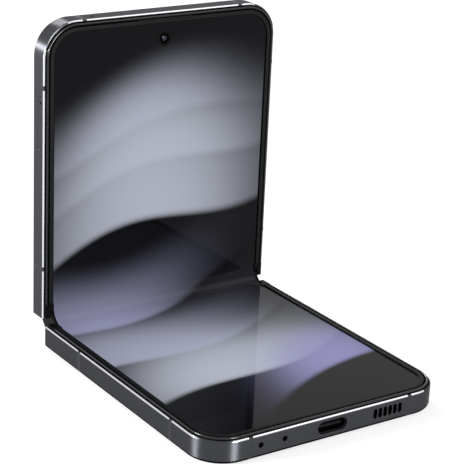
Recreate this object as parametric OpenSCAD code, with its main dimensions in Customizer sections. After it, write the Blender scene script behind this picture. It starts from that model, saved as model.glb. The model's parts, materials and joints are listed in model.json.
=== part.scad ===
// Foldable smartphone of the clamshell kind, half open like a small laptop.
// The lower half lies on its back and runs from the hinge towards -Y. The upper half stands up
// behind it. +X is to the right, +Z is up, and the origin is the middle of the lower half's back.
//
// Both halves are drawn in one half frame: the hinge axis lies along X at y = 0 and z = axis_z,
// the half runs towards +Y, its back is at z = 0 and its display faces +Z.
// The spine is drawn in its own frame: the lower axis is at y = 0, z = 0, the upper axis is at
// y = axis_gap, z = 0, and +Z points into the fold.

/* [Body] */
// Width of both halves
phone_w = 71.9; // [66:0.1:80]
// Length of each half, from its hinge axis to its free edge
half_len = 80.5; // [76:0.5:92]
// How far each half reaches past its hinge axis
end_over = 0.6; // [0.3:0.1:0.9]
// Angle between the two halves as drawn
open_angle = 90; // [80:1:100]
// Radius of the four outer corners, seen from the front
corner_r = 9.5; // [8:0.5:12]
// Height of the display face over the back face
face_z = 6.5; // [6.4:0.1:7]
// How far the raised rim stands over the display
rim_h = 0.4; // [0.2:0.1:0.6]

/* [Frame] */
// Thickness of the frame's side wall
wall_t = 2.1; // [1.9:0.1:2.4]
// Radius along the frame's back edge
edge_r = 1.0; // [0.6:0.1:1.3]
// Radius along the frame's front edge
top_r = 0.4; // [0.2:0.1:0.5]
// Height of the frame's front edge over the back face
land_z = 6.25; // [6.1:0.05:6.3]
// Width of the bare metal at the frame's front edge
land_w = 0.6; // [0.5:0.1:0.8]
// Height of the frame's lowest metal over the back glass
foot_z = 0.15; // [0.1:0.05:0.3]
// Thickness of the deck that carries the display
deck_t = 0.8; // [0.6:0.1:1]
// Width of a plastic antenna split
split_w = 1.2; // [0.8:0.1:1.6]
// Depth of a plastic antenna split
split_d = 1.5; // [1.2:0.1:1.7]
// Distance from the hinge axis to the near split, in the lower and in the upper half
near_split = [18.1, 13.7]; // [13:0.1:19]
// Distance from the free edge to the far split, in the lower and in the upper half
far_split = [17.3, 17]; // [16.8:0.1:18]
// Distance from the frame's side to the splits on the free edges
end_split = 11.85; // [10:0.05:12.1]

/* [Glass and display] */
// Thickness of the back glass
glass_t = 0.7; // [0.6:0.05:0.8]
// Distance from the frame's side to the back glass
glass_inset = 1.05; // [1:0.05:1.3]
// Thickness of the display with its backing plates
panel_t = 0.6; // [0.5:0.05:0.7]
// Thickness of the display where it bends
fold_t = 0.3; // [0.2:0.05:0.35]
// Distance from the frame's side to the edge of the display
panel_inset = 1.3; // [1.25:0.05:1.5]
// Radius of the display's bend as drawn
fold_r = 4.6; // [4:0.1:5]
// Distance from the end of the spine cover to the edge of the bending display
fold_side = 0.95; // [0.9:0.05:1.3]
// Distance from the hinge axis to where the display is bonded down
bond_y = 3.6; // [3.4:0.1:4]
// Distance from the frame's side to the outside of the raised rim
rim_out = 0.68; // [0.66:0.02:0.8]
// Distance from the frame's side to the inside of the raised rim
rim_in = 1.9; // [1.7:0.1:2.1]

/* [Hinge] */
// Height of a hinge axis over the back face of its half
axis_z = 5.5; // [5.4:0.05:5.6]
// Distance between the two hinge axes
axis_gap = 4.1; // [4:0.1:4.4]
// Outer radius of the spine cover round each axis
spine_r = 4.6; // [4.5:0.05:4.7]
// Wall of the spine cover
spine_wall = 0.65; // [0.5:0.05:0.8]
// Distance from the frame's side to the end of the spine cover
spine_side = 2.3; // [2.25:0.05:2.5]
// Gap between the spine cover and the hollow in each half
spine_gap = 0.2; // [0.15:0.05:0.3]
// Inner radius of an arm's curved rail
rail_r0 = 2.3; // [2.2:0.05:2.4]
// Outer radius of an arm's curved rail
rail_r1 = 3.1; // [3:0.05:3.2]
// Running gap on each side of a rail
rail_gap = 0.05; // [0.04:0.01:0.08]
// Distance from the end of the spine cover to the start of a rail
rail_in = 13.45; // [13.3:0.05:14]
// Length of a rail along the hinge
rail_w = 3.2; // [3:0.1:3.4]
// Thickness of an arm's plate
arm_t = 1.0; // [0.8:0.1:1.1]
// Length of an arm's plate, from the hinge axis
arm_len = 10.3; // [10:0.1:11]

/* [Timing gears] */
// Module of the gear teeth
gear_m = 0.2; // [0.19:0.005:0.2]
// Teeth that a full wheel of the arm's gear would have
arm_teeth = 10; // [10:1:10]
// Teeth of an idler gear
idler_teeth = 13; // [13:1:13]
// Width of the gears
gear_w = 2; // [1.6:0.1:2.1]
// Play between two teeth on the pitch circle
backlash = 0.06; // [0.04:0.01:0.08]
// Radius of an idler's shaft
shaft_r = 0.35; // [0.3:0.05:0.4]
// Running gap round an idler's shaft
shaft_gap = 0.03; // [0.02:0.01:0.05]

/* [Ports and keys] */
// Width of the charging port
port_w = 8.9; // [8.8:0.1:9.2]
// Height of the charging port
port_h = 3.3; // [3.2:0.1:3.4]
// Number of loudspeaker slots
slot_count = 6; // [4:1:7]
// Distance between two loudspeaker slots
slot_step = 1.55; // [1.4:0.05:1.7]
// Width of a loudspeaker slot
slot_w = 0.9; // [0.7:0.05:1]
// Height of a loudspeaker slot
slot_h = 2.4; // [2:0.1:2.8]
// Distance from the frame's side to the middle of the loudspeaker slots
slot_side = 18.75; // [18.4:0.05:19.4]
// Places of the two small holes in the lower free edge
low_hole_x = [-21.2, -14.2]; // [-22:0.1:-13]
// Radius of a microphone hole
mic_r = 0.5; // [0.3:0.05:0.6]
// Place of the hole in the upper free edge
top_hole_x = -20.5; // [-22:0.1:-18]
// Distance from the free edge to the middle of the card tray
tray_in = 26.9; // [25.8:0.1:28]
// Length of the card tray's door
tray_w = 14.6; // [14.2:0.1:15]
// Height of the card tray's door
tray_h = 2.3; // [2.1:0.1:2.4]
// Middle of the door's height over the back face
tray_z = 4.35; // [4.3:0.05:4.4]
// Distance from the free edge to the middle of the power key
power_in = 49.5; // [47.5:0.5:52]
// Length of the power key
power_w = 12; // [10:0.5:13]
// Distance from the free edge to the middle of the volume key
volume_in = 29.5; // [29.5:0.5:30.5]
// Length of the volume key
volume_w = 20; // [17:0.5:20]
// Height of both keys
key_h = 2.2; // [2:0.1:2.4]
// How far a key stands out of the frame
key_out = 0.4; // [0.3:0.05:0.5]
// Gap round a key, a tray door and other fitted trim
fit = 0.08; // [0.06:0.01:0.1]

/* [Cameras] */
// Distance from the free edge to the middle of the rear lenses
lens_in = 10.3; // [10:0.1:11]
// Distance from the frame's side to the middle of the outer rear lens
lens_side = 10.45; // [10.3:0.05:12]
// Distance between the two rear lenses
lens_step = 13.5; // [13.2:0.1:14.5]
// Radius of a rear lens ring
lens_ring_r = 6; // [5.5:0.1:6.2]
// How far a rear lens ring stands out
lens_ring_h = 0.9; // [0.6:0.1:1.5]
// Distance from the free edge to the middle of the front camera
selfie_in = 7.1; // [6.8:0.1:7.4]
// Radius of the hole for the front camera
selfie_r = 1.5; // [1.3:0.05:1.7]

/* [Hidden] */
$fn = 48;

// Tilt of the spine from lying flat, the same for both hinge axes
tilt = (180 - open_angle) / 2;
// The display's fixed parts lie on the deck
deck_z = face_z - panel_t;
under_z = deck_z - deck_t;
rim_z = face_z + rim_h;
mid_z = (foot_z + rim_z) / 2;
// The hinge axis lies this far from the middle of the lower half
hinge_y = (half_len - end_over) / 2;
// Inside faces of the side walls, and the ends of the hollow for the spine
wall_x = phone_w / 2 - wall_t;
lower_split_y = [near_split[0], half_len - far_split[0]];
upper_split_y = [near_split[1], half_len - far_split[1]];
end_split_x = phone_w / 2 - end_split;
slot_mid_x = phone_w / 2 - slot_side;
spine_l = phone_w - 2 * spine_side;
fold_w = spine_l - 2 * fold_side;
rail_x = spine_l / 2 - rail_in;
hollow_r = spine_r + spine_gap;
hollow_x = spine_l / 2 + 0.2;
// Wall between the hollow and the room inside a half
hinge_wall = 1.4;
room_y0 = hollow_r + hinge_wall;
room_y1 = half_len - wall_t;
// Back glass starts behind a metal lip
lip_len = 3.2;
end_r = 0.9;
end_top_r = 0.3;
// Overlap that joins two solids of one piece
lap = 0.5;
// Clearance between inner pieces
play = 0.1;

// Arms
arm_z = axis_z - 0.9;
arm_x0 = rail_x - 0.7;
gear_x = rail_x + rail_w + 1.1;
arm_x1 = gear_x + gear_w + 0.5;
arm_y0 = rail_r1 - 0.1;
rail_a0 = -3;
rail_a1 = -120;
arm_screw_y = 7.9;
arm_screw_x = [rail_x + 0.9, gear_x + 0.9];

// Timing gears: arm wheel, idler, idler, arm wheel
arm_wheel_r = gear_m * arm_teeth / 2;
idler_r = gear_m * idler_teeth / 2;
idler_y = axis_gap / 2 - idler_r;
idler_z = -sqrt(pow(arm_wheel_r + idler_r, 2) - pow(idler_y, 2));
// Direction from an arm's axis to its idler, seen in the half frame at the drawn angle
mesh_dir = 180 - atan2(idler_z, idler_y) - tilt;
addendum = 0.9;
dedendum = 1.2;
pressure = 20;

// Spine
channel_r = spine_r - spine_wall;
wall_top = -1.1;
core_top = 0.5;
bracket_r = channel_r - 0.05;
cheek_x0 = rail_x - 0.6;
cheek_x1 = rail_x + rail_w + 0.8;
bearing_x0 = gear_x + gear_w + 0.3;
bearing_x1 = bearing_x0 + 0.8;
flange_x0 = cheek_x0 - 3;
pad_z = -3.3;
flange_z = -2.45;
spine_screw_y = [axis_gap / 2 - 1.7, axis_gap / 2 + 1.7];
cap_x0 = spine_l / 2 - 2.25;
ridge_x0 = fold_w / 2 + 0.2;
ridge_r = 1.2;
cam_x = bearing_x1 + 0.1;
cam_t = 0.5;
lobe_h = 0.15;
follower_x0 = cam_x + cam_t + lobe_h + 0.05;
follower_t = 0.6;

// Bend of the display, in the spine frame
face_up = face_z - axis_z;
corner_up = (face_up - axis_gap / 2 * sin(tilt)) / cos(tilt);
bend_up = corner_up + fold_r / cos(tilt);
seam = 0.01;
bend_y = (face_up * sin(tilt) - axis_gap / 2) / cos(tilt) + fold_r * tan(tilt);

// Inner pieces of both halves. A cell lies next to the hinge, the boards between it and the free edge
cell_y = arm_len + 2.7;
cell_w = 2 * (wall_x - 3.35);
post_r = 1.5;
post_hole_r = 0.5;
post_head_r = 1.05;
cover_t = 0.5;
post_seat_z = glass_t + play + 0.3;
post_z = glass_t + play + cover_t;
side_post_x = wall_x - 2.25;
board_z = 2.1;
board_t = 0.8;
board_top = board_z + board_t;
// Tops of the inner pieces that reach up to the deck
ceiling_z = under_z - play;

// Magnets that hold the phone shut, glued to the side walls. They meet when it is closed
magnet = [1.7, 3, 2.2];
magnet_y = room_y1 - 16.4;

// Lower half: the bay behind the cell holds the board, the loudspeaker and the motor
bay_y = room_y1 - 23.8;
lower_cell_l = bay_y - 1.6 - cell_y;
coil_t = 0.4;
coil_r = 0.32 * cell_w;
coil_turns = 6;
coil_step = 2;
motor_w = 9;
motor_x = -side_post_x;
motor_y = bay_y + 2.4;
lower_posts = [
    [side_post_x, bay_y + 3.4],
    [side_post_x, room_y1 - 8.4],
    [3.6 - side_post_x, room_y1 - 8.9],
    [-port_w / 2 - 3.75, room_y1 - 3.6]
];
lower_cover_y = bay_y + 0.4;
sub_board_x0 = motor_x + motor_w + 1.6;
sub_board_x1 = side_post_x - 2.1;
sub_board_y1 = room_y1 - 7.4;
speaker_y = room_y1 - 6.6;
speaker_x0 = slot_mid_x - 8.2;
speaker_x1 = slot_mid_x + 11.8;
port_len = 8;
port_in = 0.3;
port_y = half_len - port_len;
mesh_in = 1.2;

// Upper half: cameras and earpiece at the free edge, the board with the card reader below them
lens_y = half_len - lens_in;
lens_x = [phone_w / 2 - lens_side, phone_w / 2 - lens_side - lens_step];
lens_hole_r = 4.3;
flash_x = lens_x[1] - 12;
flash_r = 1.6;
camera_box = 9.8;
board_y1 = lens_y - 8.2;
board_y0 = board_y1 - 20;
upper_cell_l = board_y0 - 2 - cell_y;
main_board_x0 = -wall_x + 2.85;
main_board_x1 = wall_x - 3.05;
upper_posts = [
    [side_post_x + 0.4, room_y1 - 10.2],
    [(lens_x[0] + lens_x[1]) / 2, room_y1 - 1.7],
    [top_hole_x - 5.7, room_y1 - 3.1],
    [3.35 - wall_x, room_y1 - 11.9]
];
upper_cover_y = lens_y - 6.7;
cover_screen_t = 0.9;
cover_screen_y0 = room_y0 + 2.8;
cover_screen_y1 = board_y1;
cover_screen_x = wall_x - 2.35;
earpiece_x = -10;
earpiece_w = 12;
earpiece_y = room_y1 - 7.8;
selfie_y = half_len - selfie_in;
slit_y = half_len - 1.75;
slit_w = 0.4;
slit_x = 8.15;
slit_rib = 0.35;
slit_rib_x = 2.8;
// Keys and tray
tray_y = half_len - tray_in;
power_y = half_len - power_in;
volume_y = half_len - volume_in;
key_flange_t = 0.8;
key_travel = 0.3;
key_back_x = wall_x - play - key_flange_t;
switch_x = key_back_x - 0.5;
tray_door_t = 1.2;
tray_len = 20;
tray_body_t = 1.3;
tray_body_w = tray_w - 2;
card = [12.3, 8.8, 0.67];
reader_x1 = -phone_w / 2 + tray_len + 1.95;
pivot_x = wall_x - 0.5;
pivot_r = 0.3;

metal = "#5b5c60";
dark_metal = "#46474b";
band_plastic = "#4a4b4e";
black_glass = "#0d0d10";
screen_glass = "#2c2b38";
rim_plastic = "#3a3b3e";
inner_plastic = "#26272a";
steel = "#b8babd";
brass = "#c9a85c";
copper = "#b87345";
board_green = "#1f4a3a";
cell_grey = "#3c4044";

// ---- placing -------------------------------------------------------------------------------

module lower_half()
    translate([0, hinge_y, 0])
        mirror([0, 1, 0])
            children();

module spine_frame()
    translate([0, hinge_y, axis_z])
        rotate([tilt, 0, 0])
            children();

module upper_half()
    translate([0, hinge_y + axis_gap * cos(tilt), axis_z + axis_gap * sin(tilt)])
        rotate([2 * tilt, 0, 0])
            translate([0, 0, -axis_z])
                children();

module both_sides() {
    children();
    mirror([1, 0, 0])
        children();
}

// A side view, drawn as (y, z), made into a bar from x0 to x1
module bar_x(x0, x1)
    rotate([90, 0, 90])
        translate([0, 0, x0])
            linear_extrude(x1 - x0)
                children();

// A front view of the free edge, drawn as (x, z), made into a bar between two depths below it
module at_end(d0, d1)
    translate([0, half_len - d0, 0])
        rotate([90, 0, 0])
            linear_extrude(d1 - d0)
                children();

module block(x0, x1, y0, y1, z0, z1)
    translate([x0, y0, z0])
        cube([x1 - x0, y1 - y0, z1 - z0]);

// ---- shapes that repeat ---------------------------------------------------------------------

// Outline of a half: square at the hinge end, rounded at the free end
module half_outline(w, y0, y1, r) {
    translate([-w / 2, y0])
        square([w, y1 - r - y0]);
    translate([-w / 2 + r, y0])
        square([w - 2 * r, y1 - y0]);
    for (s = [-1, 1])
        translate([s * (w / 2 - r), y1 - r])
            circle(r);
}

module half_plate(inset, y0, z0, z1)
    translate([0, 0, z0])
        linear_extrude(z1 - z0)
            half_outline(phone_w - 2 * inset, y0, half_len - inset, corner_r - inset);

// A section, drawn with x as the distance outwards from the outline, run round both sides and
// the free end of a half
module run_round(y0) {
    y1 = half_len;
    straight_x = phone_w / 2 - corner_r;
    both_sides() {
        translate([phone_w / 2, y1 - corner_r, 0])
            rotate([90, 0, 0])
                linear_extrude(y1 - corner_r - y0)
                    children();
        translate([straight_x, y1 - corner_r, 0])
            rotate_extrude(angle = 90)
                translate([corner_r, 0])
                    children();
    }
    translate([-straight_x, y1, 0])
        rotate([90, 0, 90])
            linear_extrude(2 * straight_x)
                children();
}

module stadium(w, h) {
    r = min(w, h) / 2;
    dx = w / 2 - r;
    dy = h / 2 - r;
    for (s = [-1, 1])
        translate([s * dx, s * dy])
            circle(r);
    square([max(2 * dx, min(w, 2 * r)), max(2 * dy, min(h, 2 * r))], center = true);
}

module wedge(a0, a1, r)
    polygon(concat(
        [[0, 0]],
        [for (i = [0:6])
            let (a = a0 + (a1 - a0) * i / 6)
            r * [cos(a), sin(a)]]));

module ring_2d(r0, r1)
    difference() {
        circle(r1);
        circle(r0);
    }

module pin_z(x, y, r, z0, z1)
    translate([x, y, z0])
        cylinder(r = r, h = z1 - z0);

module screw_down(x, y, head_r, head_h, shank_r, seat_z, tip_z, up) {
    // up = 1 for a head above its seat, -1 for a head below it
    pin_z(x, y, head_r, up > 0 ? seat_z : seat_z - head_h, up > 0 ? seat_z + head_h : seat_z);
    pin_z(x, y, shank_r, min(seat_z, tip_z), max(seat_z, tip_z));
}

// ---- frames ---------------------------------------------------------------------------------

// Section of the side wall, rounded at the back and at the front
module frame_section() {
    translate([-edge_r, foot_z + edge_r])
        circle(edge_r);
    translate([-wall_t, foot_z])
        square([wall_t - edge_r, deck_z - foot_z]);
    translate([-wall_t, foot_z + edge_r])
        square([wall_t, deck_z - top_r - foot_z - edge_r]);
    // bare metal land at the front edge, rounded on its outer side only
    intersection() {
        union() {
            translate([-top_r, land_z - top_r])
                circle(top_r);
            translate([-wall_t, foot_z + edge_r])
                square([wall_t - top_r, land_z - foot_z - edge_r]);
            translate([-wall_t, foot_z + edge_r])
                square([wall_t, land_z - top_r - foot_z - edge_r]);
        }
        union() {
            translate([-land_w, foot_z])
                square([land_w, land_z]);
            translate([-wall_t, foot_z])
                square([wall_t, deck_z - foot_z]);
        }
    }
}

// Side view of a half: it rounds the hinge end of the frame
module frame_side_view() {
    span = half_len + 20;
    translate([-end_over + end_r, foot_z + end_r])
        circle(end_r);
    translate([-end_over + end_top_r, land_z - end_top_r])
        circle(end_top_r);
    translate([-end_over, foot_z + end_r])
        square([span, land_z - end_top_r - foot_z - end_r]);
    translate([-end_over + end_r, foot_z - 1])
        square([span, land_z - foot_z]);
    translate([-end_over + end_top_r, foot_z + end_r])
        square([span, land_z]);
}

module split_blanks(side_y) {
    for (y = side_y)
        both_sides()
            block(phone_w / 2 - split_d, phone_w / 2 + 1, y - split_w / 2, y + split_w / 2, 0, 8);
    both_sides()
        block(end_split_x - split_w / 2, end_split_x + split_w / 2,
            half_len - split_d, half_len + 1, 0, 8);
}

module arm_seats()
    both_sides()
        block(arm_x0 - 1, arm_x1 + 1, 0, arm_len + 0.9, 1.6, arm_z);

module arm_openings()
    both_sides() {
        block(arm_x0 - 0.2, arm_x1 + 0.2, hollow_r - 1.5, arm_len + 0.2, arm_z, deck_z + 1);
        for (x = arm_screw_x)
            pin_z(x, arm_screw_y, post_hole_r, 2.2, arm_z + 1);
    }

// Metal frame of one half, with its deck, its hollow for the spine and its screw posts
module half_frame(posts, side_y)
    intersection() {
        difference() {
            union() {
                run_round(-end_over)
                    frame_section();
                translate([0, 0, under_z])
                    linear_extrude(deck_t)
                        half_outline(2 * (wall_x + lap), 1, room_y1 + lap, corner_r - wall_t + lap);
                bar_x(-wall_x - lap, wall_x + lap)
                    translate([-end_over, foot_z])
                        square([room_y0 + end_over, under_z - foot_z + lap]);
                arm_seats();
                for (p = posts)
                    pin_z(p[0], p[1], post_r, post_z, under_z + lap);
            }
            bar_x(-hollow_x, hollow_x)
                translate([0, axis_z])
                    circle(hollow_r);
            glass_recess();
            arm_openings();
            for (p = posts)
                pin_z(p[0], p[1], post_hole_r, post_z - 1, under_z - 0.6);
            split_blanks(side_y);
        }
        bar_x(-phone_w, phone_w)
            frame_side_view();
    }

module antenna_splits(side_y)
    intersection() {
        difference() {
            run_round(-end_over)
                frame_section();
            glass_recess();
        }
        split_blanks(side_y);
    }

module glass_recess()
    half_plate(glass_inset - fit, lip_len - fit, -1, glass_t);

// ---- rim, caps, display, glass --------------------------------------------------------------

module rim_section() {
    r = rim_h / 2;
    translate([-rim_in, face_z])
        square([rim_in - rim_out, rim_h - r]);
    translate([-rim_in + r, face_z])
        square([rim_in - rim_out - 2 * r, rim_h]);
    for (x = [-rim_in + r, -rim_out - r])
        translate([x, rim_z - r])
            circle(r);
    translate([-panel_inset + 0.05, deck_z])
        square([panel_inset - 0.05 - rim_out, face_z - deck_z + 0.05]);
}

module half_rim()
    run_round(bond_y - play)
        rim_section();

// Dark end pieces that carry the rim past the bend
module hinge_caps() {
    r = 0.3;
    top = rim_z - 0.05;
    y1 = bond_y - 2 * play;
    both_sides() {
        bar_x(hollow_x + 0.05, phone_w / 2 - rim_out)
            union() {
                translate([-end_over + 0.1 + r, deck_z])
                    square([y1 + end_over - 0.1 - r, top - deck_z]);
                translate([-end_over + 0.1, deck_z])
                    square([1, top - deck_z - r]);
                translate([-end_over + 0.1 + r, top - r])
                    circle(r);
            }
        bar_x(fold_w / 2 + 0.1, hollow_x + lap)
            translate([ridge_r + 0.3, deck_z + 0.1])
                square([y1 - ridge_r - 0.3, top - deck_z - 0.1]);
    }
}

module half_display()
    half_plate(panel_inset, bond_y, deck_z, face_z);

module glass_section() {
    r = 0.3;
    translate([-glass_inset - r, r])
        circle(r);
    translate([-glass_inset - r, r])
        square([r, glass_t - r - 0.05]);
}

module half_glass() {
    run_round(lip_len)
        glass_section();
    half_plate(glass_inset + 0.3, lip_len, 0, glass_t - 0.05);
}

// ---- hinge arms and gears -------------------------------------------------------------------

function involute(a) = tan(a) - a * PI / 180;

// Half the angle that a tooth takes up at a radius
function tooth_half(teeth, rho) =
    let (r = gear_m * teeth / 2, rb = r * cos(pressure))
    (PI * gear_m / 2 - backlash) / (2 * r) * 180 / PI
        + (involute(pressure) - (rho > rb ? involute(acos(rb / rho)) : 0)) * 180 / PI;

// Radii at which a flank has its points
function flank_radii(teeth) =
    let (r = gear_m * teeth / 2, rb = r * cos(pressure), tip = r + addendum * gear_m)
    [r - dedendum * gear_m, rb, (rb + tip) / 2, tip];

// One tooth about the direction a
function tooth_points(teeth, a) =
    let (radii = flank_radii(teeth), last = len(radii) - 1)
    concat(
        [for (i = [0:last])
            let (b = a - tooth_half(teeth, radii[i]))
            radii[i] * [cos(b), sin(b)]],
        [for (i = [last:-1:0])
            let (b = a + tooth_half(teeth, radii[i]))
            radii[i] * [cos(b), sin(b)]]);

module whole_wheel(teeth, start)
    polygon([for (k = [0:teeth - 1]) each tooth_points(teeth, start + k * 360 / teeth)]);

// Toothed sector of an arm. shift moves its teeth by a share of the pitch
module arm_wheel(shift) {
    root_r = arm_wheel_r - dedendum * gear_m;
    pitch = 360 / arm_teeth;
    intersection() {
        circle(root_r + 0.02);
        translate([-2, -2])
            square([4, 2 + core_top]);
    }
    for (k = [-2:2])
        if (abs(k + shift) * pitch < 60)
            polygon(concat([[0, 0]], tooth_points(arm_teeth, mesh_dir + (k + shift) * pitch)));
    translate([0, arm_z - axis_z])
        square([arm_y0 + 1, arm_t]);
}

module hinge_arms(shift)
    both_sides()
        translate([0, 0, axis_z])
            difference() {
                union() {
                    bar_x(arm_x0, arm_x1)
                        translate([arm_y0, arm_z - axis_z])
                            square([arm_len - arm_y0, arm_t]);
                    bar_x(rail_x, rail_x + rail_w) {
                        intersection() {
                            ring_2d(rail_r0, rail_r1);
                            wedge(rail_a1, rail_a0, 2 * rail_r1);
                        }
                        translate([rail_r0 + 0.1, arm_z - axis_z])
                            square([arm_y0 - rail_r0 + 0.4, arm_t]);
                    }
                    bar_x(gear_x, gear_x + gear_w)
                        arm_wheel(shift);
                }
                for (x = arm_screw_x) {
                    pin_z(x, arm_screw_y, 0.65, -3, 3);
                    pin_z(x, arm_screw_y, 1.15, arm_z - axis_z + arm_t - 0.5, 3);
                }
            }

module arm_screws()
    both_sides()
        for (x = arm_screw_x)
            screw_down(x, arm_screw_y, 1.1, 0.48, 0.48, arm_z + arm_t - 0.5, 2.4, 1);

module idler_wheels(side, start)
    translate([0, axis_gap / 2 + side * idler_r, idler_z])
        both_sides() {
            bar_x(gear_x, gear_x + gear_w)
                whole_wheel(idler_teeth, start);
            bar_x(cheek_x1 - 0.7, cap_x0 - 0.1)
                circle(shaft_r);
            bar_x(cam_x, cam_x + cam_t)
                circle(idler_r - 0.15);
            bar_x(cam_x + cam_t - 0.1, cam_x + cam_t + lobe_h)
                square([2 * idler_r - 0.4, 0.4], center = true);
        }

// ---- spine ----------------------------------------------------------------------------------

// Section of the spine's channel: round about each axis, flat between them, cut off at top
module channel(r, top)
    intersection() {
        union() {
            circle(r);
            translate([axis_gap, 0])
                circle(r);
            translate([0, -r])
                square([axis_gap, 2 * r]);
        }
        translate([-20, -20])
            square([40, 20 + top]);
    }

// Draws its children at the upper axis and mirrored at the lower one
module each_axis() {
    translate([axis_gap, 0])
        children();
    mirror([1, 0])
        children();
}

module idler_bores()
    for (s = [-1, 1])
        translate([axis_gap / 2 + s * idler_r, idler_z])
            circle(shaft_r + shaft_gap);

module arm_sweep()
    translate([rail_r0 - rail_gap, arm_z - axis_z - 0.05])
        square([10, 10]);

module bracket()
    difference() {
        union() {
            // rail block between its two cheeks
            bar_x(rail_x - 0.05, rail_x + rail_w + 0.05)
                difference() {
                    channel(bracket_r, core_top);
                    each_axis() {
                        arm_sweep();
                        intersection() {
                            ring_2d(rail_r0 - rail_gap, rail_r1 + rail_gap);
                            wedge(rail_a1 - 3, 20, 2 * rail_r1);
                        }
                    }
                }
            for (x = [[cheek_x0, rail_x - 0.05], [rail_x + rail_w + 0.05, cheek_x1]])
                bar_x(x[0], x[1])
                    difference() {
                        channel(bracket_r, core_top);
                        each_axis()
                            arm_sweep();
                    }
            // side rails past the gears
            bar_x(cheek_x1, bearing_x0)
                difference() {
                    channel(bracket_r, wall_top);
                    translate([axis_gap / 2 - 2 * idler_r - 0.45, -10])
                        square([4 * idler_r + 0.9, 20]);
                    each_axis()
                        circle(arm_wheel_r + 0.4);
                }
            bar_x(bearing_x0, bearing_x1)
                channel(bracket_r, wall_top);
            // screw flange
            bar_x(flange_x0, cheek_x0)
                intersection() {
                    channel(bracket_r, flange_z);
                    translate([-10, pad_z + 0.05])
                        square([30, 10]);
                }
        }
        bar_x(cheek_x1 - 0.75, bearing_x1 + 1)
            idler_bores();
        for (y = spine_screw_y)
            pin_z((flange_x0 + cheek_x0) / 2, y, 0.55, -5, 0);
    }

module spine_cover()
    difference() {
        union() {
            bar_x(-spine_l / 2, spine_l / 2)
                difference() {
                    channel(spine_r, wall_top);
                    channel(channel_r, 1);
                }
            both_sides() {
                bar_x(spine_l / 2 - 0.8, spine_l / 2)
                    channel(channel_r + 0.1, wall_top);
                bar_x(flange_x0, cheek_x0 - 0.1)
                    channel(channel_r + 0.1, pad_z);
            }
        }
        both_sides()
            for (y = spine_screw_y)
                pin_z((flange_x0 + cheek_x0) / 2, y, 0.4, -channel_r - 0.3, 0);
    }

module spine_end_caps()
    both_sides() {
        bar_x(cap_x0, spine_l / 2 - 0.85)
            channel(bracket_r, wall_top + 0.05);
        bar_x(cap_x0, spine_l / 2)
            intersection() {
                cap_ridge();
                translate([-10, -10])
                    square([30, 10 + core_top]);
            }
        bar_x(ridge_x0, spine_l / 2)
            cap_ridge();
    }

module cap_ridge()
    intersection() {
        channel(ridge_r, ridge_r);
        translate([-10, wall_top + 0.05])
            square([30, 10]);
    }

module bracket_screws()
    both_sides()
        for (y = spine_screw_y)
            screw_down((flange_x0 + cheek_x0) / 2, y, 0.95, 0.45, 0.38, flange_z, -4.1, 1);

module detent_followers()
    both_sides()
        bar_x(follower_x0, follower_x0 + follower_t)
            difference() {
                intersection() {
                    channel(bracket_r, wall_top);
                    translate([axis_gap / 2 - 2 * idler_r, -10])
                        square([4 * idler_r, 20]);
                }
                idler_bores();
            }

// Round wire wound round the X axis from x0 to x1
module coil_spring(x0, x1, mean_r, wire_r, turns) {
    sides = 6;
    steps = turns * 12;
    half_pitch = wire_r * 1.1;
    rings = [for (i = [0:steps])
        let (a = 360 * i / 12, x = x0 + wire_r + (x1 - x0 - 2 * wire_r) * i / steps)
        [for (j = [0:sides - 1])
            let (b = 360 * j / sides, q = mean_r + wire_r * cos(b))
            [x + half_pitch * 0.9 * sin(b), q * cos(a), q * sin(a)]]];
    points = [for (ring = rings) each ring];
    walls = [for (i = [0:steps - 1], j = [0:sides - 1])
        let (k = (j + 1) % sides)
        [i * sides + j, i * sides + k, (i + 1) * sides + k, (i + 1) * sides + j]];
    ends = [[for (j = [sides - 1:-1:0]) j], [for (j = [0:sides - 1]) steps * sides + j]];
    polyhedron(points, concat(walls, ends));
}

module detent_springs()
    for (s = [-1, 1])
        translate([0, axis_gap / 2 + s * idler_r, idler_z])
            both_sides()
                coil_spring(follower_x0 + follower_t, cap_x0, 0.8, 0.16, 4);

module fold_support_plate()
    bar_x(0.25 - ridge_x0, ridge_x0 - 0.25)
        translate([axis_gap / 2 - 0.8, core_top])
            square([1.6, 0.25]);

// Bent middle and two flat ends, joined by a core that lies inside both
module display_fold()
    bar_x(-fold_w / 2, fold_w / 2) {
        translate([axis_gap / 2, bend_up])
            intersection() {
                ring_2d(fold_r, fold_r + fold_t);
                wedge(-90 - tilt, -90 + tilt, 2 * fold_r);
            }
        each_axis()
            rotate(tilt) {
                translate([bend_y + seam, face_up - fold_t])
                    square([bond_y - bend_y - seam, fold_t]);
                translate([bend_y - lap, face_up - fold_t + play])
                    square([2 * lap, fold_t - 2 * play]);
            }
    }

// ---- lower half -----------------------------------------------------------------------------

module speaker_slots(grow)
    for (i = [0:slot_count - 1])
        translate([slot_mid_x + (i - (slot_count - 1) / 2) * slot_step, mid_z])
            stadium(slot_w + grow, slot_h + grow);

module lower_frame()
    color(metal)
        lower_half()
            difference() {
                half_frame(lower_posts, lower_split_y);
                at_end(-1, port_len + play)
                    translate([0, mid_z])
                        stadium(port_w, port_h);
                at_end(-1, wall_t + 1) {
                    speaker_slots(0);
                    for (x = low_hole_x)
                        translate([x, mid_z])
                            circle(mic_r);
                }
            }

module lower_antenna_splits()
    color(band_plastic)
        lower_half()
            antenna_splits(lower_split_y);

module lower_back_glass()
    color(dark_metal)
        lower_half()
            half_glass();

module lower_rim()
    color(rim_plastic)
        lower_half()
            half_rim();

module lower_hinge_caps()
    color(inner_plastic)
        lower_half()
            hinge_caps();

module lower_display()
    color(screen_glass)
        lower_half()
            half_display();

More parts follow.
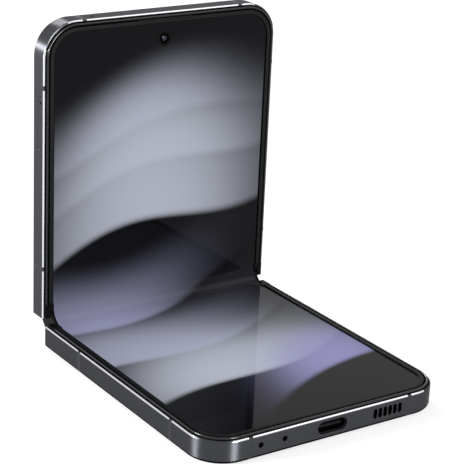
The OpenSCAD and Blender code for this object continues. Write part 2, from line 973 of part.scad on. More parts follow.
// Pouch cell: a soft edged block with a folded terminal strip
module cell(l, z0) {
    r = 1.2;
    size = [cell_w, l];
    translate([0, cell_y + l / 2, z0])
        linear_extrude(ceiling_z - z0)
            difference() {
                square(size, center = true);
                for (sx = [-1, 1], sy = [-1, 1])
                    translate([sx * size[0] / 2, sy * size[1] / 2])
                        difference() {
                            square(2 * r, center = true);
                            translate([-sx * r, -sy * r])
                                circle(r);
                        }
            }
    block(-cell_w / 4, cell_w / 4, cell_y + l - 0.2, cell_y + l + 1, z0 + 0.8, z0 + 1.4);
}

module lower_battery()
    color(cell_grey)
        lower_half()
            cell(lower_cell_l, glass_t + coil_t + 2 * play);

module charging_coil()
    color(copper)
        lower_half()
            translate([0, cell_y + lower_cell_l / 2, glass_t + play]) {
                for (i = [0:coil_turns - 1])
                    linear_extrude(coil_t)
                        ring_2d(coil_r - 0.4 - i * coil_step - 1.6, coil_r - 0.4 - i * coil_step);
                translate([0, 0, coil_t * 0.6])
                    linear_extrude(coil_t * 0.4)
                        ring_2d(coil_r - coil_turns * coil_step, coil_r);
            }

module sub_board()
    color(board_green)
        lower_half() {
            step = (sub_board_x1 - sub_board_x0 - 5) / 5;
            block(sub_board_x0, sub_board_x1, bay_y, sub_board_y1, board_z, board_top);
            for (i = [0:4])
                block(sub_board_x0 + 3 + step * i, sub_board_x0 + 3 + step * (i + 0.6),
                    bay_y + 3, bay_y + 7 + i % 2, board_top, board_z + 2);
            block(-5, 5, sub_board_y1 - 6, sub_board_y1 - 3, board_top, ceiling_z);
        }

module usb_socket()
    color(steel)
        lower_half() {
            difference() {
                at_end(port_in, port_len)
                    translate([0, mid_z])
                        stadium(port_w - play, port_h - play);
                at_end(-1, port_len - 0.6)
                    translate([0, mid_z])
                        stadium(port_w - 0.7, port_h - 0.7);
            }
            // tongue, and the plate that solders the shell to the board
            block(-3.3, 3.3, port_y + 0.3, half_len - port_in - 0.7, mid_z - 0.35, mid_z + 0.35);
            block(-6.2, 6.2, port_y, room_y1 - play, board_z - 0.3, mid_z - port_h / 2 + 0.15);
        }

module loudspeaker()
    color(inner_plastic)
        lower_half()
            difference() {
                block(speaker_x0, speaker_x1, speaker_y, room_y1 - play, post_z + play, ceiling_z);
                block(slot_mid_x - 6.2, slot_mid_x + 6.2, speaker_y + 5.7, room_y1 + 1, mid_z - 1, mid_z + 1);
                block(speaker_x1 - 2.5, speaker_x1 + 1, speaker_y + 4.1, room_y1 + 1, 0, 6);
            }

module speaker_mesh()
    color(dark_metal)
        lower_half()
            at_end(mesh_in, wall_t)
                speaker_slots(-play);

module bottom_microphones()
    color(steel)
        lower_half()
            for (x = low_hole_x) {
                block(x - 1.5, x + 1.5, room_y1 - 1.9, room_y1 - 0.05, mid_z - 1.2, mid_z + 1.2);
                translate([x, room_y1 + 0.9, mid_z])
                    rotate([90, 0, 0])
                        cylinder(r = mic_r - 0.04, h = 1);
            }

module vibration_motor()
    color(steel)
        lower_half() {
            block(motor_x, motor_x + motor_w, motor_y, motor_y + 9, board_z, ceiling_z);
            block(motor_x + motor_w - 1, sub_board_x0 + 1, motor_y + 3, motor_y + 6,
                board_top, board_top + 0.3);
        }

module lower_inner_cover()
    color(inner_plastic)
        lower_half()
            inner_cover(lower_cover_y, lower_posts)
                block(-12, 12, sub_board_y1 - 8, sub_board_y1 - 4, 0, 3);

// Plastic cover over the boards, screwed to the posts. Its child is cut out of it.
module inner_cover(y0, posts)
    difference() {
        union() {
            translate([0, 0, glass_t + play])
                linear_extrude(cover_t)
                    half_outline(2 * (wall_x - 0.4), y0, room_y1 - 0.4, corner_r - wall_t - 0.4);
            translate([0, 0, glass_t + play + 0.05])
                linear_extrude(cover_t + 0.3)
                    for (i = [-2:1])
                        translate([i * wall_x * 0.4, y0 + 0.6])
                            square([wall_x * 0.25, 0.7]);
        }
        for (p = posts) {
            pin_z(p[0], p[1], 0.6, 0, 3);
            pin_z(p[0], p[1], post_head_r + play, 0, post_seat_z);
        }
        children();
    }

// Screws up through an inner cover into the posts
module post_screws(posts)
    for (p = posts)
        screw_down(p[0], p[1], post_head_r, 0.28, 0.48, post_seat_z, under_z - 0.9, -1);

module closing_magnets()
    both_sides()
        block(wall_x - play - magnet[0], wall_x - play, magnet_y, magnet_y + magnet[1],
            ceiling_z - magnet[2], ceiling_z);

module lower_magnets()
    color(steel)
        lower_half()
            closing_magnets();

module lower_screws()
    color(steel)
        lower_half() {
            post_screws(lower_posts);
            arm_screws();
        }

module lower_hinge_arms()
    color(steel)
        lower_half()
            hinge_arms(0);

// ---- spine pieces in place ------------------------------------------------------------------

module spine_cover_placed()
    color(metal)
        spine_frame()
            spine_cover();

module spine_end_caps_placed()
    color(rim_plastic)
        spine_frame()
            spine_end_caps();

module hinge_brackets()
    color(dark_metal)
        spine_frame()
            both_sides()
                bracket();

module lower_idler_gears()
    color(brass)
        spine_frame()
            idler_wheels(-1, 180 + atan2(idler_z, idler_y) + 180 / idler_teeth);

module upper_idler_gears()
    color(brass)
        spine_frame()
            idler_wheels(1, -atan2(idler_z, idler_y));

// ---- upper half -----------------------------------------------------------------------------

module key_hole(y, w, grow)
    translate([y, mid_z])
        stadium(w + grow, key_h + grow);

module tray_door_2d(grow)
    translate([tray_y, tray_z])
        stadium(tray_w + grow, tray_h + grow);

module tray_slot_2d(grow)
    translate([tray_y - tray_body_w / 2 - grow / 2, tray_z - tray_body_t / 2 - grow / 2])
        square([tray_body_w + grow, tray_body_t + grow]);

module upper_frame()
    color(metal)
        upper_half()
            difference() {
                half_frame(upper_posts, upper_split_y);
                bar_x(wall_x - 1, phone_w / 2 + 1) {
                    key_hole(power_y, power_w, 2 * fit);
                    key_hole(volume_y, volume_w, 2 * fit);
                }
                bar_x(-phone_w / 2 - 1, -phone_w / 2 + tray_door_t + fit)
                    tray_door_2d(2 * fit);
                bar_x(-phone_w / 2 - 1, -wall_x + 1)
                    tray_slot_2d(0.3);
                at_end(-1, wall_t + 1)
                    translate([top_hole_x, mid_z])
                        circle(mic_r);
                pin_z(0, selfie_y, selfie_r, under_z - 1, deck_z + 1);
                block(-slit_x + 1, slit_x - 6, room_y1 - 0.2, slit_y + 0.4, under_z - 1.5, deck_z + 1);
            }

module upper_antenna_splits()
    color(band_plastic)
        upper_half()
            antenna_splits(upper_split_y);

module cover_window()
    color(black_glass)
        upper_half()
            difference() {
                half_glass();
                for (x = lens_x)
                    pin_z(x, lens_y, lens_hole_r, -1, 2);
                pin_z(flash_x, lens_y, flash_r + play, -1, 2);
            }

module cover_display()
    color(black_glass)
        upper_half() {
            back = glass_t + cover_screen_t;
            block(-cover_screen_x, cover_screen_x, cover_screen_y0, cover_screen_y1, glass_t + 0.02, back);
            block(-8, 8, cover_screen_y0 + 5, cover_screen_y0 + 20, back, back + 0.2);
        }

module upper_rim()
    color(rim_plastic)
        upper_half()
            difference() {
                half_rim();
                block(-slit_x, slit_x, slit_y - slit_w / 2, slit_y + slit_w / 2, face_z - 1, rim_z + 1);
            }

module upper_hinge_caps()
    color(inner_plastic)
        upper_half()
            hinge_caps();

module upper_display()
    color(screen_glass)
        upper_half()
            difference() {
                half_display();
                pin_z(0, selfie_y, selfie_r, deck_z - 1, face_z + 1);
                block(-slit_x, slit_x, slit_y - 0.1, half_len, deck_z - 1, face_z + 1);
            }

module upper_battery()
    color(cell_grey)
        upper_half()
            cell(upper_cell_l, glass_t + cover_screen_t + 0.3);

module main_board()
    color(board_green)
        upper_half() {
            block(main_board_x0, main_board_x1, board_y0, board_y1, board_z, board_top);
            block(-5, 5, board_y0 + 1, board_y0 + 3.5, board_top, ceiling_z);
            for (i = [1:4])
                block(main_board_x1 - 4.4 * i - 1, main_board_x1 - 4.4 * i + 2.4,
                    board_y0 + 1, board_y0 + 3, board_top, board_top + 0.7);
        }

module board_shields()
    color(steel)
        upper_half() {
            middle_x = (reader_x1 + main_board_x1) / 2;
            shield(reader_x1 + 3, middle_x - 0.5, board_y0 + 4.5, board_y1 - 1);
            shield(middle_x + 0.5, main_board_x1 - 1.3, board_y0 + 4.5, board_y1 - 1);
        }

// Folded sheet lid over the chips: a closed top with walls and a row of slots in it
module shield(x0, x1, y0, y1) {
    z0 = board_top;
    z1 = ceiling_z;
    t = 0.25;
    difference() {
        block(x0, x1, y0, y1, z0, z1);
        block(x0 + t, x1 - t, y0 + t, y1 - t, z0 - 1, z1 - t);
        for (x = [x0 + 3:4:x1 - 4])
            block(x, x + 2, y0 - 1, y0 + 1, z0 + 0.6, z1 - 0.6);
    }
    block(x0 + 3, x1 - 3, y0 + 3, y1 - 3, z0, z0 + 1.2);
}

module rear_lens_rings()
    color(metal)
        upper_half()
            for (x = lens_x)
                translate([x, lens_y, 0])
                    mirror([0, 0, 1])
                        rotate_extrude() {
                            translate([lens_hole_r - 0.2, 0])
                                square([lens_ring_r - lens_hole_r + 0.2 - 0.3, lens_ring_h]);
                            translate([lens_hole_r - 0.2, 0])
                                square([lens_ring_r - lens_hole_r + 0.2, lens_ring_h - 0.3]);
                            translate([lens_ring_r - 0.3, lens_ring_h - 0.3])
                                circle(0.3);
                        }

module rear_lenses()
    color(black_glass)
        upper_half()
            for (x = lens_x)
                pin_z(x, lens_y, lens_hole_r - 0.25, -lens_ring_h + 0.2, 0);

module rear_camera_modules()
    color(dark_metal)
        upper_half()
            for (x = lens_x) {
                pin_z(x, lens_y, lens_hole_r - 0.4, play, 2);
                block(x - camera_box / 2, x + camera_box / 2,
                    lens_y - camera_box / 2, lens_y + camera_box / 2, post_z + 0.2, ceiling_z);
            }

module flash_window()
    color("#e8e2c8")
        upper_half()
            pin_z(flash_x, lens_y, flash_r, 0.05, glass_t);

module front_camera()
    color(black_glass)
        upper_half() {
            pin_z(0, selfie_y, selfie_r - 0.15, under_z - 2, face_z - 0.1);
            block(-3, 3, selfie_y - 3, selfie_y + 3, under_z - 2.4, ceiling_z);
        }

module earpiece_receiver()
    color(steel)
        upper_half()
            difference() {
                block(earpiece_x - earpiece_w / 2, earpiece_x + earpiece_w / 2, earpiece_y, room_y1 - 0.2,
                    board_z, ceiling_z);
                block(earpiece_x - earpiece_w / 3, earpiece_x + earpiece_w / 3,
                    earpiece_y + 1.4, room_y1 - 2.4, board_z - 1, board_z + 0.4);
            }

module earpiece_mesh()
    color(dark_metal)
        upper_half()
            difference() {
                block(-slit_x + 0.05, slit_x - 0.05, slit_y - slit_w / 2 + 0.05, slit_y + slit_w / 2 - 0.05,
                    face_z, rim_z - 0.1);
                for (s = [-1, 1])
                    block(s * slit_rib_x - slit_rib / 2, s * slit_rib_x + slit_rib / 2,
                        slit_y - 1, slit_y + 1, face_z + 0.15, rim_z + 1);
            }

module top_microphone()
    color(steel)
        upper_half() {
            block(top_hole_x - 1.3, top_hole_x + 1.3, room_y1 - 1.2, room_y1 - 0.05, mid_z + 0.1, ceiling_z);
            block(top_hole_x - 2.6, top_hole_x + 2.6, room_y1 - 1.6, room_y1 - 0.05,
                mid_z - 0.9, mid_z + 0.1);
        }

module upper_inner_cover()
    color(inner_plastic)
        upper_half()
            inner_cover(upper_cover_y, upper_posts) {
                for (x = lens_x)
                    pin_z(x, lens_y, lens_hole_r + 0.4, 0, 3);
                pin_z(flash_x, lens_y, flash_r + 0.4, 0, 3);
            }

module upper_screws()
    color(steel)
        upper_half() {
            post_screws(upper_posts);
            arm_screws();
        }

module upper_magnets()
    color(steel)
        upper_half()
            closing_magnets();

module upper_hinge_arms()
    color(steel)
        upper_half()
            hinge_arms(0.5);

module card_reader()
    color(steel)
        upper_half()
            difference() {
                block(-wall_x + 0.2, reader_x1,
                    tray_y - tray_body_w / 2 - 0.6, tray_y + tray_body_w / 2 + 0.6,
                    board_top, ceiling_z);
                block(-phone_w, reader_x1 - 0.5,
                    tray_y - tray_body_w / 2 - 0.15, tray_y + tray_body_w / 2 + 0.15,
                    tray_z - tray_body_t / 2 - 0.15, tray_z + tray_body_t / 2 + 0.05);
            }

module card_tray()
    color(metal)
        upper_half()
            difference() {
                union() {
                    bar_x(-phone_w / 2, -phone_w / 2 + tray_door_t)
                        tray_door_2d(0);
                    bar_x(-phone_w / 2 + 0.5, -phone_w / 2 + tray_len)
                        tray_slot_2d(0);
                }
                translate([-phone_w / 2 + 3.5, tray_y - card[0] / 2 - fit, tray_z - tray_body_t / 2 + 0.4])
                    cube([card[1] + 2 * fit, card[0] + 2 * fit, 3]);
                translate([-phone_w / 2 + 5.5, tray_y - card[0] / 2 + 2, 0])
                    cube([card[1] - 4, card[0] - 4, 8]);
                translate([-phone_w / 2 - 1, tray_y + tray_w / 2 - 1.7, tray_z])
                    rotate([0, 90, 0])
                        cylinder(r = 0.45, h = 2.5);
            }

module memory_card()
    color(brass)
        upper_half()
            translate([-phone_w / 2 + 3.5 + fit, tray_y - card[0] / 2, tray_z - tray_body_t / 2 + 0.4])
                cube([card[1], card[0], card[2]]);

module key_cap(y, w, flange)
    union() {
        bar_x(wall_x - 0.3, phone_w / 2 + key_out - 0.2)
            key_hole(y, w, 0);
        bar_x(wall_x - 0.3, phone_w / 2 + key_out)
            key_hole(y, w, -0.4);
        bar_x(key_back_x, wall_x - play)
            translate([y - flange / 2, mid_z - key_h / 2 - 0.35])
                square([flange, key_h + 0.7]);
    }

// Pip on the back of a key, short of its switch by gap
module key_nub(y, gap)
    translate([switch_x + gap, y, mid_z])
        rotate([0, 90, 0])
            cylinder(r = 0.8, h = key_back_x + 0.1 - switch_x - gap);

module power_key()
    color(metal)
        upper_half() {
            key_cap(power_y, power_w, power_w + 0.8);
            key_nub(power_y, key_travel + 0.02);
        }

module volume_key()
    color(metal)
        upper_half() {
            key_cap(volume_y, volume_w, 6);
            bar_x(key_back_x, wall_x - 0.25)
                key_hole(volume_y, volume_w - 1, -0.2);
            pin_z(pivot_x, volume_y, pivot_r, mid_z - key_h / 2 - 0.45, mid_z + key_h / 2 + 0.45);
            for (s = [-1, 1])
                key_nub(volume_y + s * (volume_w / 2 - 3), 0.18);
        }

// Dome switches on a strip whose two ends are fixed to the side wall
module key_switches()
    color(steel)
        upper_half() {
            x0 = switch_x - 0.7;
            ends = [power_y - power_w / 2 - 2, volume_y + volume_w / 2 - 1];
            block(x0 - 0.4, x0, ends[0], ends[1], mid_z - 1.2, mid_z + 1.2);
            for (y = [power_y, volume_y - volume_w / 2 + 3, volume_y + volume_w / 2 - 3])
                translate([x0, y, mid_z])
                    rotate([0, 90, 0]) {
                        cylinder(r = 1.1, h = 0.4);
                        cylinder(r = 0.7, h = 0.7);
                    }
            block(x0 - 0.4, wall_x, ends[0] - 0.6, ends[0], mid_z - 1.2, mid_z + 1.2);
        }

lower_frame();
lower_antenna_splits();
lower_back_glass();
lower_rim();
lower_hinge_caps();
lower_display();
lower_battery();
charging_coil();
sub_board();
usb_socket();
loudspeaker();
speaker_mesh();
bottom_microphones();
vibration_motor();
lower_magnets();
lower_inner_cover();
lower_screws();
lower_hinge_arms();
spine_cover_placed();  // spine_cover
spine_end_caps_placed();  // spine_end_caps
hinge_brackets();
color(steel) spine_frame() bracket_screws();
color(steel) spine_frame() detent_followers();
color(steel) spine_frame() detent_springs();
color(steel) spine_frame() fold_support_plate();
color(screen_glass) spine_frame() display_fold();
lower_idler_gears();
upper_idler_gears();
upper_frame();
upper_antenna_splits();
cover_window();
cover_display();
upper_rim();
upper_hinge_caps();
upper_display();
upper_battery();
main_board();
board_shields();
rear_lens_rings();
rear_lenses();
rear_camera_modules();
flash_window();
front_camera();
earpiece_receiver();
earpiece_mesh();
top_microphone();
upper_magnets();
upper_inner_cover();
upper_screws();
upper_hinge_arms();
card_reader();
card_tray();
memory_card();
key_switches();
power_key();
volume_key();
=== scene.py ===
# %% [markdown]
# # A folding phone, half open
#
# The solids come from the CAD model and keep their places and sizes. This lesson gives each
# of them a real finish, and makes anew what a solid alone can't show: the lit screen that
# bends at the hinge, the glass of the lenses, the layered rim round the screen and the
# contacts in the charging port. Every piece but the bend of the screen rides on one body of
# the frame, so it moves with that body when the phone opens or closes, a key is pressed or the
# card tray is pulled out. The bend is drawn for the half-open phone only.

import json
import math

import bmesh
import bpy
from mathutils import Matrix, Vector


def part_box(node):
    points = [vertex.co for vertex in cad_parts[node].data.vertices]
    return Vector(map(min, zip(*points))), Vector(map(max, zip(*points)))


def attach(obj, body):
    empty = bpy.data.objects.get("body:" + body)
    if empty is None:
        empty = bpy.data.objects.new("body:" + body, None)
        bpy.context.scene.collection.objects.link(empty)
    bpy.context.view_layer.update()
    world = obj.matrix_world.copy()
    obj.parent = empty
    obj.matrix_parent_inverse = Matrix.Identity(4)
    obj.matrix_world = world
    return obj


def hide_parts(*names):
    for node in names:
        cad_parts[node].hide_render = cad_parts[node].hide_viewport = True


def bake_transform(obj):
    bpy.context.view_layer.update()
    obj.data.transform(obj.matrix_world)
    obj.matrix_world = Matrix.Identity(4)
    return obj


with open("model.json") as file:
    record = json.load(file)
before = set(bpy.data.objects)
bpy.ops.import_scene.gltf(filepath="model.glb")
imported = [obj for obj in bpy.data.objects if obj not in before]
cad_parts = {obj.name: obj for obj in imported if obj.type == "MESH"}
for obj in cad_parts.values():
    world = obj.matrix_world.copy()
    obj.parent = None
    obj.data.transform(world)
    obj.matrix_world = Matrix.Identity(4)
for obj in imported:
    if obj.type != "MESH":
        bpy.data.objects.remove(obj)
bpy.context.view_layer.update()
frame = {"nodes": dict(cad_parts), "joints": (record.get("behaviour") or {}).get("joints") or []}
solids = frame["nodes"]

# %% [markdown]
# ## Sizes
#
# A phone like this is two half shells and a spine between them. Each half turns on its own
# axis, so three places are enough to put anything: the lower half, the upper half and the
# spine. The places are read from the two fold joints, and the sizes from the solids, so
# nothing here can drift away from the CAD model.

# %% Read the sizes of one half
mm = 0.001
pivot = {joint["name"]: Vector(joint["pos_m"]) for joint in frame["joints"] if "pos_m" in joint}
lower_axis = pivot["fold_lower"]
upper_axis = pivot["fold_upper"]
frame_low, frame_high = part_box("lower_frame")
display_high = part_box("lower_display")[1]

half_width = frame_high.x
half_length = lower_axis.y - frame_low.y
axis_height = lower_axis.z
face_height = display_high.z
bond_start = lower_axis.y - display_high.y
corner_radius = 9.5 * mm
tilt = math.atan2(upper_axis.z - lower_axis.z, upper_axis.y - lower_axis.y)
axis_gap = (upper_axis - lower_axis).length
print("half of", round(half_length / mm, 2), "mm, axes", round(axis_gap / mm, 2), "mm apart")

# %% [markdown]
# A half is drawn lying on its back, with the hinge axis over its y = 0 and the screen facing
# up. The lower half is its mirror image in y, which turns a mesh inside out, so the placing
# function flips the faces back. The upper half is turned up by twice the tilt of the spine.

# %% Places of the three parts
half_to_lower = Matrix.Translation((0, lower_axis.y, 0)) @ Matrix.Diagonal((1, -1, 1, 1))
half_to_upper = (
    Matrix.Translation(upper_axis)
    @ Matrix.Rotation(2 * tilt, 4, "X")
    @ Matrix.Translation((0, 0, -axis_height))
)
spine_to_row = Matrix.Translation(lower_axis) @ Matrix.Rotation(tilt, 4, "X")
PLACES = {"base": half_to_lower, "lid": half_to_upper, "spine": spine_to_row}


def placed(mesh, body):
    """Moves a mesh from the drawing of a half, or of the spine, to its place on a body."""
    mesh.transform(PLACES[body])
    if PLACES[body].determinant() < 0:
        mesh.flip_normals()
    return mesh


def in_scene(name, data):
    """A new object that shows in the scene."""
    made = bpy.data.objects.new(name, data)
    bpy.context.scene.collection.objects.link(made)
    return made


def poured(shell, mesh):
    """Puts the work of a bmesh into a mesh and frees it."""
    shell.to_mesh(mesh)
    shell.free()
    return mesh


def smoothed(mesh, sharp):
    """Shades a mesh smooth, with an edge where two faces meet at more than sharp degrees."""
    mesh.shade_smooth()
    mesh.set_sharp_from_angle(angle=math.radians(sharp))


print("tilt of the spine", round(math.degrees(tilt), 1), "degrees")

# %% [markdown]
# ## Tools for finishes
#
# A finish is a tree of shader nodes. One function adds a node with its settings and its
# links, and one turns a colour as a designer writes it, in sRGB hex, into the linear light
# that a shader works in. Most finishes here follow a noise of a real size, which sets their
# colour, their roughness and their tiny bumps, so one function lays out such a finish.

# %% Colour and node helpers
def linear(hex_colour):
    """An sRGB hex colour as linear red, green, blue and alpha."""
    levels = [int(hex_colour[i : i + 2], 16) / 255 for i in (1, 3, 5)]
    light = [v / 12.92 if v <= 0.04045 else ((v + 0.055) / 1.055) ** 2.4 for v in levels]
    return (*light, 1.0)


def feed(node, feeds):
    """Feeds named inputs with a value, a socket or a node, which gives its first output."""
    for name, value in feeds.items():
        source = value.outputs[0] if isinstance(value, bpy.types.Node) else value
        if isinstance(source, bpy.types.NodeSocket):
            node.id_data.links.new(source, node.inputs[name])
        else:
            node.inputs[name].default_value = source


def wire(tree, kind, feeds=None, **settings):
    """Adds one node and feeds it. A kind in capitals is arithmetic: a Math node that does it."""
    made = tree.nodes.new("ShaderNodeMath" if kind.isupper() else kind)
    if kind.isupper():
        made.operation = kind
    for name, value in settings.items():
        setattr(made, name, value)
    feed(made, feeds or {})
    return made


def blank_finish(name, **plain):
    """A material with one Principled shader. plain sets its sockets, _ standing for a space."""
    finish = bpy.data.materials.new(name)
    finish.use_nodes = True
    shader = finish.node_tree.nodes["Principled BSDF"]
    feed(shader, {socket.replace("_", " "): value for socket, value in plain.items()})
    return finish, finish.node_tree, shader


print("graphite", [round(v, 3) for v in linear("#4C4D51")])

# %% Lay out a finish that follows a noise
def patterned(
    name,
    noise,
    tones=None,
    stops=(0, 1),
    haze=None,
    span=(0, 1),
    bumps=None,
    grit=None,
    stretch=None,
    **plain,
):
    """noise holds the inputs of the noise. tones are two colours at two stops of it, haze two
    roughnesses over a span of it, and bumps the strength and height of its relief, which
    follows the noise grit instead where that is given. stretch scales the places that the
    noises read. Gives the material, its tree and its shader."""
    finish, tree, shader = blank_finish(name, **plain)
    place = wire(tree, "ShaderNodeTexCoord").outputs["Object"]
    if stretch:
        place = wire(tree, "ShaderNodeMapping", {"Vector": place, "Scale": stretch})
    marks = wire(tree, "ShaderNodeTexNoise", {"Vector": place, **noise})
    if tones:
        tone = wire(tree, "ShaderNodeValToRGB", {"Fac": marks})
        for element, stop, colour in zip(tone.color_ramp.elements, stops, tones):
            element.position, element.color = stop, colour
        feed(shader, {"Base Color": tone})
    if haze:
        levels = dict(zip(("From Min", "From Max", "To Min", "To Max"), (*span, *haze)))
        feed(shader, {"Roughness": wire(tree, "ShaderNodeMapRange", {"Value": marks, **levels})})
    if bumps:
        height = wire(tree, "ShaderNodeTexNoise", {"Vector": place, **grit}) if grit else marks
        sizes = dict(zip(("Strength", "Distance"), bumps))
        feed(shader, {"Normal": wire(tree, "ShaderNodeBump", {"Height": height, **sizes})})
    return finish, tree, shader


print("materials before the first finish:", len(bpy.data.materials))

# %% [markdown]
# ## Polished graphite metal
#
# The two frames, the spine, the keys, the tray and the lens rings are aluminium, milled,
# polished and then anodised a dark graphite. Polish makes the surface mirror its
# surroundings, while the anodic layer darkens them and spreads each highlight a little. It
# also stays dark at a grazing angle, where bare metal would turn white: that is the specular
# tint. The roughness wanders slightly over a few millimetres, as hand polishing leaves it.
# The grit of the last polish, about 0.05 mm, is too fine to show, so it is drawn at 0.25 mm.
#
# The frames are polished along their walls. Such lines stretch a highlight over the height of
# the wall, so a small lamp shows as a long soft streak. The shader does that with its
# anisotropy, and a tangent across the lines tells it which way.

# %% Make the metals
GRAZING_TINT = (0.6, 0.6, 0.6, 1.0)
POLISH_LINES = 0.95


def polished_metal(name, hex_colour, roughness, spread, across=None):
    """Anodised aluminium with a wandering polish. spread is how far the roughness wanders, and
    across is the direction over the polishing lines, in which they stretch a highlight."""
    finish, tree, shader = patterned(
        name,
        {"Scale": 1 / (6 * mm), "Detail": 3.0, "Roughness": 0.6},
        haze=(roughness - spread, roughness + spread),
        span=(0.3, 0.7),
        bumps=(0.012, 0.01 * mm),
        grit={"Scale": 1 / (0.25 * mm), "Detail": 2.0},
        Metallic=1.0,
        Base_Color=linear(hex_colour),
        Specular_Tint=GRAZING_TINT,
    )
    if across:
        stretch = wire(
            tree,
            "ShaderNodeVectorTransform",
            {"Vector": across},
            vector_type="VECTOR",
            convert_from="OBJECT",
            convert_to="WORLD",
        )
        feed(shader, {"Tangent": stretch, "Anisotropic": POLISH_LINES})
    return finish


# One graphite in two tones: the lower half's copy is darker, painted shade, and the upper half's
# copy, also on the keys and the tray, is lighter, painted light.
shaded_lower_graphite = polished_metal("shaded_lower_graphite_aluminium", "#424347", 0.36, 0.02, (0, 0, 1))
lit_upper_graphite = polished_metal("lit_upper_graphite_aluminium", "#4C4D51", 0.36, 0.02, (0, 1, 0))
# A near-white copy of the metal for the straight front edges: a painted highlight.
painted_highlight_edge = polished_metal("painted_highlight_edge_aluminium", "#D6D7DB", 0.14, 0.02)
spine_metal = polished_metal("polished_spine_aluminium", "#4A4B4F", 0.22, 0.04)
ring_metal = polished_metal("turned_ring_aluminium", "#5E5F63", 0.14, 0.02)
print("metals:", shaded_lower_graphite.name, lit_upper_graphite.name, spine_metal.name, ring_metal.name)

# %% [markdown]
# ## Moulded plastics and rubber
#
# The antenna splits are PBT moulded into the metal and then machined flush with it, so they
# are satin. The band of the raised rim is a soft moulded TPU with a fine spark grain, and its
# lip is polished. The hinge caps are polished polycarbonate, and black rubber parts shine not
# at all. That black is also painted shade: it fills the grooves of the rim, lines the
# openings in the walls and runs along the back edge of the frames. One function makes them
# all: a colour that is a little uneven, a grain with a real size, and its own gloss.

# %% Make the plastics
def moulded_plastic(name, hex_colour, roughness, grain, depth, shine=0.5):
    """A moulded plastic. grain is the size of its texture and depth its height, in mm."""
    base = Vector(linear(hex_colour)[:3])
    return patterned(
        name,
        {"Scale": 1 / (4 * mm), "Detail": 2.0},
        tones=[(*(base * share), 1) for share in (0.9, 1.1)],
        bumps=(0.6, depth * mm),
        grit={"Scale": 1 / (grain * mm), "Detail": 3.0, "Roughness": 0.7},
        Roughness=roughness,
        IOR=1.49,
        Specular_IOR_Level=shine,
    )[0]


split_plastic = moulded_plastic("machined_split_plastic", "#1E1F21", 0.5, 0.3, 0.004, 0.12)
rim_plastic = moulded_plastic("moulded_rim_plastic", "#0B0C0D", 0.42, 0.15, 0.012, 0.06)
cap_plastic = moulded_plastic("polished_cap_plastic", "#070708", 0.3, 0.5, 0.003, 0.03)
inner_plastic = moulded_plastic("moulded_inner_plastic", "#1C1D20", 0.5, 0.2, 0.015)
lip_plastic = moulded_plastic("polished_rim_lip", "#0D0E0F", 0.2, 0.5, 0.002, 0.35)
# Black for real rubber parts, and painted shade in the rim's grooves, the openings and along the
# frames' back edges.
rubber_and_painted_shade = moulded_plastic("black_rubber_and_painted_shade", "#030303", 0.6, 0.2, 0.005, 0.0)
card_plastic = moulded_plastic("moulded_card_plastic", "#17181A", 0.45, 0.2, 0.01)
print("plastics:", split_plastic.name, rim_plastic.name, cap_plastic.name)

# %% [markdown]
# ## Glass that isn't a screen
#
# The back of the lower half is etched glass over a graphite print: soft to the eye, with no
# sharp reflection. The window on the back of the upper half is polished glass over black,
# with a faint smear that changes its gloss. A lens is black glass under a coating a fraction
# of a micron thick, which takes away most of its mirror share and tints the rest violet and
# green; the shader's thin film does exactly that. A camera's cover is sapphire: clear, hard
# and with a sharp mirror image.

# %% Make the glasses
etched_glass = patterned(
    "etched_back_glass",
    {"Scale": 1 / (0.3 * mm), "Detail": 4.0, "Roughness": 0.75},
    tones=(linear("#303135"), linear("#46474C")),
    haze=(0.34, 0.5),
    IOR=1.5,
    Metallic=0.25,
    Coat_Weight=0.25,
    Coat_Roughness=0.35,
)[0]
window_glass = patterned(
    "polished_window_glass",
    {"Scale": 1 / (15 * mm), "Detail": 4.0, "Distortion": 0.6},
    haze=(0.02, 0.07),
    span=(0.35, 0.75),
    IOR=1.5,
    Base_Color=linear("#0A0A0C"),
)[0]
lens_glass = patterned(
    "coated_lens_glass",
    {"Scale": 1 / (3 * mm), "Detail": 1.0},
    tones=(linear("#06060B"), linear("#141026")),
    IOR=1.7,
    Roughness=0.02,
    Specular_IOR_Level=0.2,
    Thin_Film_Thickness=420.0,
    Thin_Film_IOR=1.38,
)[0]
cover_sapphire = patterned(
    "polished_sapphire",
    {"Scale": 1 / (3 * mm)},
    haze=(0.0, 0.03),
    IOR=1.6,
    Transmission_Weight=1.0,
    Base_Color=linear("#B9BAC6"),
)[0]
print("glasses:", etched_glass.name, window_glass.name, lens_glass.name, cover_sapphire.name)

# %% [markdown]
# ## Metals and boards inside
#
# The inner parts show only where a gap lets the eye in, or when a solid is looked at on its
# own. Stamped steel is brushed along the sheet, cut brass keeps fine tool marks, lacquered
# copper wire is bright, a circuit board is green solder resist over copper tracks, and a
# battery pouch is crinkled foil. The steel of the charging port and of the hinge is drawn
# nearly black: painted shade, as both sit deep in shadow, and its specular tint keeps it dark
# at a grazing angle too. Each gets its tone and its relief from one noise with a real size.

# %% Make the inner finishes
def inner_finish(name, dark, light, size, roughness, metallic, depth=0.01, **plain):
    """Two tones over marks of a real size, with depth for the height of the marks, both in mm."""
    return patterned(
        name,
        {"Scale": 1 / (size * mm), "Detail": 4.0, "Roughness": 0.65},
        tones=(linear(dark), linear(light)),
        stops=(0.35, 0.65),
        bumps=(0.5, depth * mm),
        Roughness=roughness,
        Metallic=metallic,
        **plain,
    )[0]


